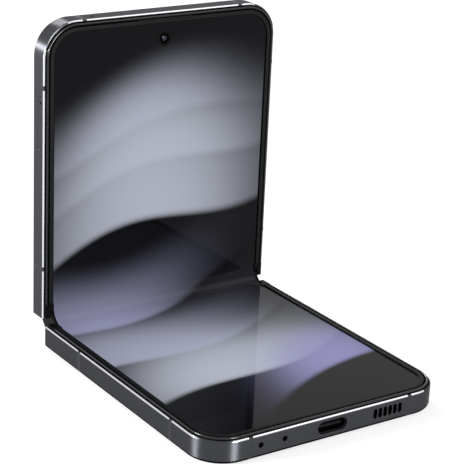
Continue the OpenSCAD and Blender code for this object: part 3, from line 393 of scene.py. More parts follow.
stamped_steel = inner_finish(
    "stamped_steel", "#8E9094", "#B4B6BA", 0.4, 0.3, 1.0, stretch=(0.1, 1, 1)
)
cut_brass = inner_finish(
    "cut_brass", "#A8853F", "#D9B766", 0.3, 0.24, 1.0, stretch=(0.15, 1, 1)
)
# Hinge steel drawn dark: painted shade, for parts that sit in shadow between the halves.
shaded_sintered_steel = inner_finish(
    "painted_shade_hinge_steel", "#232427", "#36373B", 0.15, 0.42, 1.0, Specular_Tint=GRAZING_TINT
)
# Port steel drawn nearly black: painted shade, for the socket deep in its opening.
painted_shade_port_steel = inner_finish(
    "painted_shade_port_steel", "#141517", "#1F2023", 0.15, 0.5, 1.0, Specular_Tint=GRAZING_TINT
)
gold_contact = inner_finish("gold_plated_contact", "#C79A45", "#E8C273", 0.5, 0.2, 1.0)
copper_wire = inner_finish("lacquered_copper", "#8A4C28", "#C67A48", 0.3, 0.3, 1.0)
solder_resist = inner_finish("green_solder_resist", "#0F3524", "#1E5A3C", 0.8, 0.3, 0.0)
pouch_foil = inner_finish("crinkled_pouch_foil", "#3A3C40", "#54575C", 2.5, 0.35, 0.7, depth=0.05)
barrel_black = inner_finish(
    "blackened_barrel", "#050506", "#0C0C0F", 0.4, 0.45, 0.0, Specular_IOR_Level=0.1
)
turned_steel = inner_finish("turned_steel", "#7C7E82", "#A9ABAF", 0.2, 0.26, 1.0)
magnet_nickel = inner_finish("nickel_plate", "#A9A59A", "#C9C5B8", 0.6, 0.22, 1.0)
flash_lens = inner_finish(
    "moulded_flash_lens", "#CFC59A", "#E6DFBE", 1.2, 0.12, 0.0, depth=0.002
)
print("inner finishes:", stamped_steel.name, cut_brass.name, copper_wire.name)

# %% [markdown]
# One more needs its own recipe. Sound openings are closed by a mesh woven from black coated
# steel wire, 0.1 mm thick; its weave is drawn 0.4 mm apart so that it can show. The wave
# node draws a band every 0.314 of its unit, and where bands along two axes cross, a wire
# passes over another.

# %% Make the woven mesh
woven_mesh, weave_tree, weave_shader = blank_finish(
    "woven_sound_mesh", Metallic=0.6, Roughness=0.5
)
weave_place = wire(weave_tree, "ShaderNodeTexCoord").outputs["Object"]
WEAVE_UNIT = 1.26 * mm
wires = [
    wire(
        weave_tree,
        "ShaderNodeTexWave",
        {"Vector": weave_place, "Scale": 1 / WEAVE_UNIT, "Distortion": 0.0},
        wave_type="BANDS",
        bands_direction=axis,
    ).outputs["Fac"]
    for axis in "XYZ"
]
crossing = wire(weave_tree, "MULTIPLY", {0: wires[0], 1: wires[1]})
crossing = wire(weave_tree, "ADD", {0: crossing, 1: wires[2]})
weave_tone = wire(weave_tree, "ShaderNodeValToRGB", {"Fac": crossing})
weave_tone.color_ramp.elements[0].color = linear("#020202")
weave_tone.color_ramp.elements[1].color = linear("#1A1A1C")
weave_relief = wire(
    weave_tree, "ShaderNodeBump", {"Height": crossing, "Strength": 0.6, "Distance": 0.03 * mm}
)
feed(weave_shader, {"Base Color": weave_tone, "Normal": weave_relief})
print("mesh of", len(weave_tree.nodes), "nodes:", woven_mesh.name)

# %% [markdown]
# ## The lit screen
#
# The screen is an emissive panel under a polished film with an anti-reflection coating, so
# its blacks stay almost black in a white room and only a faint, sharp mirror image lies over
# the picture. The index of refraction is that of glass. The coating is the low specular level,
# which takes away most of the mirror share.
#
# The picture is a generic one of soft ribbons of silk light, silver and violet on black. It is
# drawn from a UV map in millimetres: u runs across the phone and v along it, from the lower
# free edge over the bend to the upper one, so that one picture crosses all the pieces of the
# screen. Each ribbon is a wavy centre line with a sharp side and a side that fades out.

# %% Set out the screen
FILM_BETWEEN_AXES = 2.2 * mm
unfolded_length = 2 * half_length + FILM_BETWEEN_AXES
active_inset = 3.1 * mm
active_half_width = half_width - active_inset
active_corner = corner_radius - active_inset

# Each ribbon: height of its edge on the left side and how far it rises to the right side, in
# mm, its wave in mm, the width of the fading side, its strength, its share of violet, and the
# place across the screen and the breadth of its brightest part
RIBBONS = (
    (92, 22, 7, 44, 1.35, 0.06, -3, 25),
    (108, 20, 6, 30, 0.75, 0.04, -1, 23),
    (123, 14, 5, 22, 0.60, 0.15, -6, 22),
    (74, 14, -6, 26, 0.80, 0.60, -22, 22),
    (46, 20, 6, 32, 1.05, 0.30, -20, 26),
    (18, 28, -7, 36, 1.60, 0.05, -6, 24),
    (2, 22, 5, 30, 1.50, 0.95, 21, 16),
)
SILVER = "#BCC1CC"
VIOLET = "#8F8CBC"
NIGHT = "#070709"
BORDER = "#020202"
print("lit area", round(2 * active_half_width / mm, 1), "mm wide")

# %% Draw the ribbons
WAVE_LENGTH = 1.6  # in widths of the picture
WAVE_TURN = 0.37  # how far the wave has turned for each mm that the ribbon lies higher
EDGE_BLUR = 1.6  # in mm to each side of the sharp edge
screen_glass, screen_tree, screen_shader = blank_finish(
    "lit_screen",
    Roughness=0.035,
    IOR=1.5,
    Specular_IOR_Level=0.06,
    Emission_Strength=1.0,
    Base_Color=linear("#030304"),
)
screen_uv = wire(screen_tree, "ShaderNodeUVMap", uv_map="screen_mm")
uv_parts = wire(screen_tree, "ShaderNodeSeparateXYZ", {"Vector": screen_uv})
across, along = uv_parts.outputs["X"], uv_parts.outputs["Y"]


def ribbon_light(low, rise, wave, fade, core, breadth):
    """How bright one ribbon is: sharp along its lower edge, fading out above it."""
    tree = screen_tree
    width = 2 * active_half_width / mm
    slope = wire(tree, "MULTIPLY_ADD", {0: across, 1: rise / width, 2: low + rise / 2})
    per_mm = 2 * math.pi / (WAVE_LENGTH * width)
    swing = wire(tree, "MULTIPLY_ADD", {0: across, 1: per_mm, 2: low * WAVE_TURN})
    swell = wire(tree, "SINE", {0: swing})
    line = wire(tree, "MULTIPLY_ADD", {0: swell, 1: wave, 2: slope})
    above = wire(tree, "SUBTRACT", {0: along, 1: line})
    edge = wire(
        tree,
        "ShaderNodeMapRange",
        {"Value": above, "From Min": -EDGE_BLUR, "From Max": EDGE_BLUR},
        interpolation_type="SMOOTHSTEP",
    )
    fall = wire(
        tree,
        "ShaderNodeMapRange",
        {"Value": above, "From Min": 0.0, "From Max": fade, "To Min": 1.0, "To Max": 0.0},
        interpolation_type="SMOOTHERSTEP",
    )
    off_core = wire(tree, "MULTIPLY_ADD", {0: across, 1: 1 / breadth, 2: -core / breadth})
    squared = wire(tree, "MULTIPLY", {0: off_core, 1: off_core})
    sheen = wire(tree, "EXPONENT", {0: wire(tree, "MULTIPLY", {0: squared, 1: -1.0})})
    return wire(tree, "MULTIPLY", {0: wire(tree, "MULTIPLY", {0: edge, 1: fall}), 1: sheen})


sums = {SILVER: 0.0, VIOLET: 0.0}
for low, rise, wave, fade, strength, violet_share, core, breadth in RIBBONS:
    light = ribbon_light(low, rise, wave, fade, core, breadth)
    for colour, share in ((SILVER, 1 - violet_share), (VIOLET, violet_share)):
        part = wire(screen_tree, "MULTIPLY", {0: light, 1: strength * share})
        sums[colour] = wire(screen_tree, "ADD", {0: sums[colour], 1: part})
print("drew", len(RIBBONS), "ribbons")

# %% [markdown]
# A screen's picture stops short of the glass: a black border runs round it, with rounded
# corners. The border is the distance from a rounded rectangle, worked out from the same map:
# how far a point lies beyond the straight sides, and whether that is less than the radius of
# the corners. The front camera looks through a round hole in the picture, with a black ring
# round it. Where ribbons cross, their lights add up, and each sum is bent so that it rises
# towards full light and never jumps past it.

# %% Mask the picture and light it
SOFTNESS = 1.5
CAMERA_FROM_EDGE = 7.1 * mm
CAMERA_RING = 2.2
corner = active_corner / mm
half_wide = active_half_width / mm
half_tall = (unfolded_length / 2 - active_inset) / mm
middle_v = unfolded_length / 2 / mm
camera_v = (unfolded_length - CAMERA_FROM_EDGE) / mm
beyond = screen_uv
for step, amount in (
    ("SUBTRACT", (0, middle_v, 0)),
    ("ABSOLUTE", (0, 0, 0)),
    ("SUBTRACT", (half_wide - corner, half_tall - corner, 0)),
    ("MAXIMUM", (0, 0, 0)),
    ("LENGTH", (0, 0, 0)),
):
    beyond = wire(screen_tree, "ShaderNodeVectorMath", {0: beyond, 1: amount}, operation=step)
to_camera = wire(
    screen_tree,
    "ShaderNodeVectorMath",
    {0: screen_uv, 1: (0, camera_v, 0)},
    operation="DISTANCE",
)
inside = wire(screen_tree, "LESS_THAN", {0: beyond.outputs["Value"], 1: corner})
clear = wire(screen_tree, "GREATER_THAN", {0: to_camera.outputs["Value"], 1: CAMERA_RING})
lit = wire(screen_tree, "MULTIPLY", {0: inside, 1: clear})

picture = linear(NIGHT)
for colour, total in sums.items():
    sunk = wire(screen_tree, "MULTIPLY", {0: total, 1: -SOFTNESS})
    left = wire(screen_tree, "EXPONENT", {0: sunk})
    share = wire(screen_tree, "SUBTRACT", {0: 1.0, 1: left})
    picture = wire(
        screen_tree,
        "ShaderNodeMix",
        {6: picture, 7: linear(colour), 0: share},
        data_type="RGBA",
    ).outputs[2]
bordered = wire(
    screen_tree, "ShaderNodeMix", {6: linear(BORDER), 7: picture, 0: lit}, data_type="RGBA"
)
feed(screen_shader, {"Emission Color": bordered.outputs[2]})
print("camera hole at", round(camera_v, 1), "mm along the screen")

# %% [markdown]
# ## A smooth skin for a solid
#
# A CAD solid arrives as loose flat triangles. That is right for its size, but polished metal
# shows every facet, and a real edge is never perfectly sharp: it carries a small break that
# catches the light. So each part that shows is copied, welded, cleaned of needless edges,
# shaded smooth up to a sharp angle, and its hard edges get a narrow bevel.

# %% Make the skins
SHARP = 32
WELD = 0.002 * mm  # points of a solid that are closer than this are one
FLAT = math.radians(0.3)


def welded_copy(node):
    """The mesh of a CAD solid with its triangles welded and its flat faces made whole."""
    mesh = solids[node].data.copy()
    mesh.name = node + "_skin"
    shell = bmesh.new()
    shell.from_mesh(mesh)
    bmesh.ops.remove_doubles(shell, verts=shell.verts, dist=WELD)
    bmesh.ops.dissolve_limit(shell, angle_limit=FLAT, verts=shell.verts, edges=shell.edges)
    poured(shell, mesh)
    if "custom_normal" in mesh.attributes:
        mesh.attributes.remove(mesh.attributes["custom_normal"])
    return mesh


def dressed(node, body, finish, edge=0.0):
    """A smooth skin over a CAD solid. edge is the width of the break on its hard edges."""
    mesh = welded_copy(node)
    mesh.materials.clear()
    mesh.materials.append(finish)
    smoothed(mesh, SHARP)
    skin = in_scene(node + "_skin", mesh)
    if edge:
        brk = skin.modifiers.new("edge_break", "BEVEL")
        brk.width = edge
        brk.segments = 2
        brk.limit_method = "ANGLE"
        brk.angle_limit = math.radians(SHARP)
        brk.use_clamp_overlap = True
        level = skin.modifiers.new("even_light", "WEIGHTED_NORMAL")
        level.weight = 100
        level.keep_sharp = True
        ready = skin.evaluated_get(bpy.context.evaluated_depsgraph_get())
        baked = bpy.data.meshes.new_from_object(ready)
        skin.modifiers.clear()
        skin.data = baked
    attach(skin, body)
    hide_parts(node)
    return skin


SKINS = (
    # node, body, finish, slot, width of the break on its edges in mm
    ("lower_frame", "base", shaded_lower_graphite, "frame_metal", 0.05),
    ("upper_frame", "lid", lit_upper_graphite, "frame_metal", 0.05),
    ("lower_antenna_splits", "base", split_plastic, "antenna_plastic", 0),
    ("upper_antenna_splits", "lid", split_plastic, "antenna_plastic", 0),
    ("lower_hinge_caps", "base", cap_plastic, "cap_plastic", 0.05),
    ("upper_hinge_caps", "lid", cap_plastic, "cap_plastic", 0.05),
    ("spine_cover", "spine", spine_metal, "spine_metal", 0.04),
    ("spine_end_caps", "spine", cap_plastic, "cap_plastic", 0.04),
    ("lower_back_glass", "base", etched_glass, "back_glass", 0),
    ("cover_window", "lid", window_glass, "window_glass", 0),
    ("rear_lens_rings", "lid", ring_metal, "frame_metal", 0.06),
    ("power_key", "power_key", lit_upper_graphite, "frame_metal", 0.05),
    ("volume_key", "volume_key", lit_upper_graphite, "frame_metal", 0.05),
    ("card_tray", "card_tray", lit_upper_graphite, "frame_metal", 0.04),
    ("usb_socket", "base", painted_shade_port_steel, "steel", 0.03),
)
skins = {}
for node, body, finish, slot, edge in SKINS:
    skins[node] = dressed(node, body, finish, edge * mm)
    print(node, "skin of", len(skins[node].data.polygons), "faces")

# %% [markdown]
# ## A painted highlight on the front edge and painted shade on the back edge
#
# Along each straight side of a frame, the rounded front edge gets a near-white copy of the
# metal: a painted highlight, for the light that the polished rounding catches. Round the
# corners the metal keeps its own tone. At the back, where the frame tucks under towards the
# glass, a black line is painted: painted shade, for the dark contact under the phone that the
# rounding mirrors. The faces of both lines are found in the drawing of a half: a highlight
# face lies near the top of the wall and leans between upright and level, and a shade face
# lies below the back line and leans downwards. The spine's two end faces are closed in the
# black of its caps.

# %% Give the frames their two lines
# Depth of the flat land at the front edge and radius of its rounding, then the lean of a face
LAND_DEPTH = 0.25 * mm
EDGE_ROUND = 0.4 * mm
LEANING = (0.12, 0.985)
UNDERCUT = -0.1
ROUND_A_CORNER = 0.25
# Heights below which the back of each frame is painted black: painted shade, for the dark contact
# under the phone that the rounding mirrors
BACK_SHADE_LINES = {"lower_frame": 0.98 * mm, "upper_frame": 0.45 * mm}
FRAMES = (("lower_frame", "base"), ("upper_frame", "lid"))
PAINTED_HIGHLIGHT, PAINTED_SHADE = 1, 2  # places in a frame's list of finishes


def give_lines(node, body):
    """Paints a highlight on a frame's rounded front edge and shade along the line at its back."""
    skin = skins[node].data
    skin.materials.append(painted_highlight_edge)
    skin.materials.append(rubber_and_painted_shade)
    back = PLACES[body].inverted()
    bright, dark = 0, 0
    for face in skin.polygons:
        height = (back @ face.center).z
        out = back.to_3x3() @ face.normal
        sideways, endways = abs(out.x), abs(out.y)
        straight = min(sideways, endways) < ROUND_A_CORNER * max(sideways, endways)
        at_top = height > face_height - LAND_DEPTH - EDGE_ROUND
        # a painted highlight on the straight sides of the rounded front edge
        if at_top and LEANING[0] < out.z < LEANING[1] and straight:
            face.material_index = PAINTED_HIGHLIGHT
            bright += 1
        # painted shade along the back edge
        elif height < BACK_SHADE_LINES[node] and out.z < UNDERCUT:
            face.material_index = PAINTED_SHADE
            dark += 1
    return bright, dark


spine_skin = skins["spine_cover"].data
spine_skin.materials.append(cap_plastic)
spine_ends = [face for face in spine_skin.polygons if abs(face.normal.x) > 0.9]
for face in spine_ends:
    face.material_index = 1
print("spine ends of", len(spine_ends), "faces")
print("bright and dark faces", [give_lines(node, body) for node, body in FRAMES])

# %% [markdown]
# ## Openings in the walls
#
# The holes, slots and ports go through walls of bright metal, but inside they lie in shadow
# and look black from outside: their inner walls get the black finish, painted shade. A face
# belongs to the inside of an opening when it lies in the thickness of a wall, away from the
# corners, and looks along the wall instead of out of it. The slots of the loudspeaker and the
# holes of the microphones are also flared at their mouths, as a cutter leaves them, so each
# point at a mouth moves away from the opening's upright middle line.

# %% Paint shade in the openings and flare them
WALL = 2.3 * mm
CORNER = 9 * mm
OPENING_HEIGHTS = (1.6 * mm, 5.2 * mm)
ALONG_WALL = 0.6
SLOTS = 6
SLOT_WIDTH = 0.8 * mm
SLOT_FLARE, HOLE_FLARE = 0.13 * mm, 0.22 * mm
HOLE_FROM_END = 1.5 * mm
MOUTH_DEPTH, MOUTH_REACH = 0.3 * mm, 0.6 * mm


def paint_shade_in_openings(node, body):
    """Paints shade, in black, on the walls of the holes, slots and ports in a frame's outer walls.
    """
    skin = skins[node].data
    back = PLACES[body].inverted()
    end = max((back @ vert.co).y for vert in skin.vertices)
    side = max((back @ vert.co).x for vert in skin.vertices)
    shaded = 0
    for face in skin.polygons:
        spot = back @ face.center
        out = back.to_3x3() @ face.normal
        at_end = end - spot.y < WALL and abs(spot.x) < side - CORNER and abs(out.y) < ALONG_WALL
        clear_of_corners = CORNER < spot.y < end - CORNER
        at_side = side - abs(spot.x) < WALL and clear_of_corners and abs(out.x) < ALONG_WALL
        if OPENING_HEIGHTS[0] < spot.z < OPENING_HEIGHTS[1] and (at_end or at_side):
            # painted shade inside an opening
            face.material_index = PAINTED_SHADE
            shaded += 1
    return shaded


def flare(skin, x, half_line, by):
    """Widens the mouth of one opening in the end wall, away from its upright middle line."""
    moved = 0
    for vert in skin.vertices:
        spot = vert.co
        line_z = min(max(spot.z, mesh_middle - half_line), mesh_middle + half_line)
        away = Vector((spot.x - x, 0, spot.z - line_z))
        if spot.y - frame_low.y < MOUTH_DEPTH and 0 < away.length < MOUTH_REACH:
            vert.co = spot + away.normalized() * by
            moved += 1
    return moved


print("shaded", [paint_shade_in_openings(node, body) for node, body in FRAMES])
mesh_low, mesh_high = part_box("speaker_mesh")
mic_low, mic_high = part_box("bottom_microphones")
mesh_middle = (mesh_low.z + mesh_high.z) / 2
slot_step = (mesh_high.x - mesh_low.x - SLOT_WIDTH) / (SLOTS - 1)
slot_line = (mesh_high.z - mesh_low.z - SLOT_WIDTH) / 2
first_slot = mesh_low.x + SLOT_WIDTH / 2
openings = [(first_slot + i * slot_step, slot_line, SLOT_FLARE) for i in range(SLOTS)]
openings += [
    (x, 0.0, HOLE_FLARE) for x in (mic_low.x + HOLE_FROM_END, mic_high.x - HOLE_FROM_END)
]
flared = sum(flare(skins["lower_frame"].data, *opening) for opening in openings)
print("flared points", flared, "with a step of", round(slot_step / mm, 2), "mm")

# %% [markdown]
# ## The two flat screens
#
# Each flat screen keeps the outline of its solid, with the hole for the camera and the notch
# for the earpiece. It only gains the map of millimetres that the picture is drawn from: for
# the lower half the distance along the screen grows towards the hinge, for the upper half
# away from it. A point's place in the drawing of a half comes from undoing its placing.

# %% Map the flat screens
def along_screen(y, body):
    """How far along the unfolded screen a point at y in the drawing of a half lies, in mm."""
    from_middle = y + unfolded_length / 2 - half_length
    if body == "base":
        return (unfolded_length / 2 - from_middle) / mm
    return (unfolded_length / 2 + from_middle) / mm


def map_screen(skin, body):
    """Adds the UV map in millimetres to a piece of the flat screen."""
    back = PLACES[body].inverted()
    layer = skin.data.uv_layers.new(name="screen_mm")
    for loop in skin.data.loops:
        spot = back @ skin.data.vertices[loop.vertex_index].co
        layer.data[loop.index].uv = (spot.x / mm, along_screen(spot.y, body))


for node, body in (("lower_display", "base"), ("upper_display", "lid")):
    skins[node] = dressed(node, body, screen_glass)
    map_screen(skins[node], body)
    heights = [uv.uv.y for uv in skins[node].data.uv_layers["screen_mm"].data]
    print(node, "runs from", round(min(heights), 1), "to", round(max(heights), 1), "mm")

# %% [markdown]
# ## The bend of the screen
#
# Between the two flat screens the film bends in an arc, clear of the spine. It is drawn as a
# section in the drawing of the spine: a short flat, the arc and another flat. The section is
# cut in two at the middle of the spine: the first piece runs from the lower flat screen to the
# middle, the second from the middle to the upper one. Both are long strips with many narrow
# steps, so that the arc is smooth, and both are baked in place for the half-open phone.

# %% Draw the section of the bend
STEPS = 48
bend_half_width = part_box("display_fold")[1].x
bend_radius = 4.6 * mm
film = 0.3 * mm
face_up = face_height - axis_height
corner_up = (face_up - axis_gap / 2 * math.sin(tilt)) / math.cos(tilt)
bend_up = corner_up + bend_radius / math.cos(tilt)
arc_length = 2 * tilt * bend_radius
corner_out = (face_up * math.sin(tilt) - axis_gap / 2) / math.cos(tilt)
flat_length = bond_start - (corner_out + bend_radius * math.tan(tilt))
strip_length = flat_length + arc_length / 2
print("bend of", round(arc_length / mm, 2), "mm between flats of", round(flat_length / mm, 2), "mm")


def bend_point(s, side, depth):
    """A point of the film, s from the middle of the spine to one side, depth below its face."""
    turn = min(s, arc_length / 2) / bend_radius
    radius = bend_radius + depth
    y = axis_gap / 2 + side * radius * math.sin(turn)
    z = bend_up - radius * math.cos(turn)
    past = max(s - arc_length / 2, 0.0)
    return y + side * past * math.cos(tilt), z + past * math.sin(tilt)


def bend_strip(name, side):
    """One half of the bending film, from the middle of the spine to the flat screen."""
    strip = bmesh.new()
    layer = strip.loops.layers.uv.new("screen_mm")
    spots = {}
    rows = []
    for i in range(STEPS + 1):
        s = strip_length * i / STEPS
        rows.append([])
        for depth in (0.0, film):
            y, z = bend_point(s, side, depth)
            for x in (-bend_half_width, bend_half_width):
                vert = strip.verts.new((x, y, z))
                spots[vert] = (x / mm, (unfolded_length / 2 + side * s * screen_stretch) / mm)
                rows[-1].append(vert)
    for one, two in zip(rows, rows[1:]):
        for a, b in ((0, 1), (1, 3), (3, 2), (2, 0)):
            face = strip.faces.new((one[a], one[b], two[b], two[a]))
            face.material_index = 0 if (a, b) == (0, 1) else 1
    for end_row in (rows[0], rows[-1]):
        strip.faces.new([end_row[i] for i in (0, 1, 3, 2)]).material_index = 1
    bmesh.ops.recalc_face_normals(strip, faces=strip.faces)
    for face in strip.faces:
        for loop in face.loops:
            loop[layer].uv = spots[loop.vert]
    mesh = poured(strip, bpy.data.meshes.new(name))
    mesh.materials.append(screen_glass)
    mesh.materials.append(rubber_and_painted_shade)
    smoothed(mesh, 40)
    piece = in_scene(name, placed(mesh, "spine"))
    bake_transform(piece)
    return piece


# %% [markdown]
# The flat screens leave a gap in the map where the film bends, and the strip's map is
# stretched by a hair to fill that gap exactly.

# %% Bend the screen
screen_stretch = (bond_start + unfolded_length / 2 - half_length) / strip_length
lower_bend = bend_strip("screen_bend_lower", -1)
upper_bend = bend_strip("screen_bend_upper", 1)
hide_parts("display_fold")
print("strips of", len(lower_bend.data.polygons), "and", len(upper_bend.data.polygons), "faces")

# %% [markdown]
# ## The raised rim
#
# A moulded rim stands round three sides of each screen and keeps the two halves apart when
# the phone is shut. Four sections run along the same path, which is what Curve to Mesh in a
# Geometry Nodes tree is for: the path is the phone's outline. Outside is a glossy lip whose
# foot reaches down beside the screen, and inside it a flat band that lies on the screen's
# edge. Between them, a little lower, a black strip fills the groove: painted shade, for the
# shadow in it. A thin black bead fills the groove between the metal and the lip: painted
# shade too. The upper band and the black strip also have the earpiece slot, so the tree cuts
# a slot with a Mesh Boolean node before the finish is set.

# %% Make the rim's path and sections
rim_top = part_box("lower_rim")[1].z - face_height
slot_half = Vector((8.15 * mm, 0.25 * mm, 2 * mm))
slot_centre_y = half_length - 1.75 * mm


def outline_path(start_y, steps=24):
    """Points round both sides and the free end of a half, in its drawing."""
    x, y = half_width - corner_radius, half_length - corner_radius
    right = [
        Vector((x + corner_radius * math.cos(a), y + corner_radius * math.sin(a), 0))
        for a in (math.pi / 2 * i / steps for i in range(steps + 1))
    ]
    left = [Vector((-p.x, p.y, 0)) for p in reversed(right)]
    return [Vector((half_width, start_y, 0)), *right, *left, Vector((-half_width, start_y, 0))]


def curve_object(name, points, closed):
    """A poly curve through the points, to feed a node tree."""
    curve = bpy.data.curves.new(name, "CURVE")
    curve.dimensions = "3D"
    spline = curve.splines.new("POLY")
    spline.points.add(len(points) - 1)
    for spline_point, point in zip(spline.points, points):
        spline_point.co = (*point, 1)
    spline.use_cyclic_u = closed
    return in_scene(name, curve)


def crowned(outside, inside, top, round_out, round_in, root, steps=5):
    """A bar's section in mm, from outside to inside of the rim, with rounded upper edges."""
    turns = [math.pi / 2 * i / steps for i in range(steps + 1)]
    arc = [(1 - math.cos(a), 1 - math.sin(a)) for a in turns]
    outer = [(outside + round_out * x, top - round_out * y) for x, y in arc]
    inner = [(inside - round_in * y, top - round_in * x) for x, y in arc]
    return outer + inner + [*root]


# Each section: its two sides, its top, the two roundings and its root, in mm from the outline
# and from the screen's face, and its finish
top_mm = rim_top / mm
lip_foot = ((1.28, 0), (1.25, -0.55), (0.74, -0.55))
bead_foot = ((0.8, -0.5), (0.61, -0.5), (0.61, -0.27), (0.42, -0.27))
SECTIONS = {
    "lip": (crowned(0.74, 1.28, top_mm, 0.27, 0.26, lip_foot), lip_plastic),
    # the strip between lip and band is black: painted shade in the groove there
    "gasket": (crowned(1.2, 1.8, top_mm - 0.16, 0.04, 0.04, ((1.8, 0), (1.2, 0))), rubber_and_painted_shade),
    "band": (crowned(1.72, 2.75, top_mm, 0.08, 0.06, ((2.75, 0), (1.72, 0))), rim_plastic),
    # the bead is black over the groove by the metal: painted shade
    "bead": (crowned(0.4, 0.8, -0.165, 0.08, 0.06, bead_foot), rubber_and_painted_shade),
}
print("rim of", len(SECTIONS), "sections,", round(top_mm, 2), "mm high")

# %% [markdown]
# A node tree is a small machine with named inputs. This one takes the path and the section as
# objects, sweeps one along the other, and can take a cutter away from the result. Realize
# Instances and Set Material close every tree here, because an export keeps neither instances
# nor a finish that a tree never set.

# %% Tools for node trees
def new_tree(name, **kinds):
    """An empty Geometry Nodes tree with named inputs, _ standing for a space. Gives the tree,
    the sockets that its inputs come from, and its output node."""
    tree = bpy.data.node_groups.new(name, "GeometryNodeTree")
    for label, kind in kinds.items():
        label, kind = label.replace("_", " "), "NodeSocket" + kind
        tree.interface.new_socket(label, in_out="INPUT", socket_type=kind)
    tree.interface.new_socket("Geometry", in_out="OUTPUT", socket_type="NodeSocketGeometry")
    return tree, wire(tree, "NodeGroupInput").outputs, wire(tree, "NodeGroupOutput")


def close_tree(tree, geometry, finish, output):
    """Ends a tree: real geometry with a finish on it."""
    real = wire(tree, "GeometryNodeRealizeInstances", {"Geometry": geometry})
    coated = wire(tree, "GeometryNodeSetMaterial", {"Geometry": real, "Material": finish})
    feed(output, {"Geometry": coated})


def grown(name, tree, values, body):
    """Runs a tree once, keeps its result as a plain mesh and puts it on a body."""
    piece = in_scene(name, bpy.data.meshes.new(name))
    engine = piece.modifiers.new("tree", "NODES")
    engine.node_group = tree
    for label, value in values.items():
        socket = next(item for item in tree.interface.items_tree if item.name == label)
        engine[socket.identifier] = value
    ready = piece.evaluated_get(bpy.context.evaluated_depsgraph_get())
    mesh = bpy.data.meshes.new_from_object(ready)
    piece.modifiers.clear()
    shell = bmesh.new()
    shell.from_mesh(mesh)
    bmesh.ops.remove_doubles(shell, verts=shell.verts, dist=WELD / 4)
    bmesh.ops.recalc_face_normals(shell, faces=shell.faces)
    piece.data = placed(poured(shell, mesh), body)
    smoothed(piece.data, 35)
    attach(piece, body)
    print(name, "of", len(piece.data.polygons), "faces")
    return piece


print("node trees before the first one:", len(bpy.data.node_groups))

# %% Build the sweeping tree
sweep, given, sweep_out = new_tree(
    "sweep_section",
    Path="Object",
    Section="Object",
    Lift="Float",
    Cut_Size="Vector",
    Cut_Centre="Vector",
    Finish="Material",
)
path_in = wire(sweep, "GeometryNodeObjectInfo", {"Object": given["Path"]})
section_in = wire(sweep, "GeometryNodeObjectInfo", {"Object": given["Section"]})
swept = wire(
    sweep,
    "GeometryNodeCurveToMesh",
    {
        "Curve": path_in.outputs["Geometry"],
        "Profile Curve": section_in.outputs["Geometry"],
        "Fill Caps": True,
    },
)
lift = wire(sweep, "ShaderNodeCombineXYZ", {"Z": given["Lift"]})
lifted = wire(sweep, "GeometryNodeSetPosition", {"Geometry": swept, "Offset": lift})
cutter = wire(sweep, "GeometryNodeMeshCube", {"Size": given["Cut Size"]})
cutter_at = wire(
    sweep, "GeometryNodeTransform", {"Geometry": cutter, "Translation": given["Cut Centre"]}
)
opened = wire(
    sweep,
    "GeometryNodeMeshBoolean",
    {"Mesh 1": lifted, "Mesh 2": cutter_at},
    operation="DIFFERENCE",
    solver="EXACT",
)
close_tree(sweep, opened, given["Finish"], sweep_out)
print("sweeping tree of", len(sweep.nodes), "nodes")

# %% Make both rims
RIM_EARLY = 0.1 * mm  # how far before the flat screen the rim starts
rim_path = curve_object("rim_path", outline_path(bond_start - RIM_EARLY), closed=False)
slot_centre = Vector((0, slot_centre_y, face_height + rim_top))
far_away = -10 * slot_centre
for part, (points, finish) in SECTIONS.items():
    section = curve_object(
        part + "_section", [Vector((-x * mm, -y * mm, 0)) for x, y in points], closed=True
    )
    for half, body in (("lower", "base"), ("upper", "lid")):
        slotted = body == "lid" and part in ("gasket", "band")
        values = {
            "Path": rim_path,
            "Section": section,
            "Lift": face_height,
            "Cut Size": 2 * slot_half,
            "Cut Centre": slot_centre if slotted else far_away,
            "Finish": finish,
        }
        piece = grown(f"{half}_rim_{part}", sweep, values, body)
        if part == "lip":
            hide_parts(half + "_rim")
    bpy.data.objects.remove(section)
bpy.data.objects.remove(rim_path)

# %% [markdown]
# ## Rows of small plates
#
# Three things on this phone are rows of small flat plates with rounded corners: the gold
# contacts on the tongue of the charging port, the strip of gauze in the earpiece slot, which
# is a row of one, and the two ribs that split the slot in three. One tree makes them all. It
# draws a rectangle, rounds its corners, fills and thickens it, and puts a copy on each point
# of a line.

# %% Build the row tree
row, given, row_out = new_tree(
    "row_of_plates",
    Count="Int",
    Start="Vector",
    Step="Vector",
    Width="Float",
    Length="Float",
    Height="Float",
    Corner="Float",
    Finish="Material",
)
outline = wire(
    row,
    "GeometryNodeCurvePrimitiveQuadrilateral",
    {"Width": given["Width"], "Height": given["Length"]},
)
rounded = wire(
    row,
    "GeometryNodeFilletCurve",
    {"Curve": outline, "Radius": given["Corner"], "Count": 3},
    mode="POLY",
)
base_face = wire(row, "GeometryNodeFillCurve", {"Curve": rounded}, mode="NGONS")
thick = wire(
    row,
    "GeometryNodeExtrudeMesh",
    {
        "Mesh": base_face,
        "Offset": (0, 0, 1),
        "Offset Scale": given["Height"],
        "Individual": False,
    },
)
plate = wire(row, "GeometryNodeJoinGeometry", {"Geometry": thick})
feed(plate, {"Geometry": wire(row, "GeometryNodeFlipFaces", {"Mesh": base_face})})
line = wire(
    row,
    "GeometryNodeMeshLine",
    {"Count": given["Count"], "Start Location": given["Start"], "Offset": given["Step"]},
    mode="OFFSET",
)
copies = wire(row, "GeometryNodeInstanceOnPoints", {"Points": line, "Instance": plate})
close_tree(row, copies, given["Finish"], row_out)
print("row tree of", len(row.nodes), "nodes")

# %% Lay the contacts, the gauze and the ribs
PORT_MIDDLE = 3.525 * mm
TONGUE_HALF = 0.35 * mm
CONTACT_THICK = 0.03 * mm
contact_y = half_length - 3.2 * mm
gauze_foot, rib_foot = face_height - 0.1 * mm, face_height + 0.16 * mm
slot_width, slot_length = 2 * slot_half.x, 2 * slot_half.y

contact = (0.28 * mm, 3.6 * mm, CONTACT_THICK, 0.06 * mm)
contact_look = (gold_contact, "base", "gear_brass")

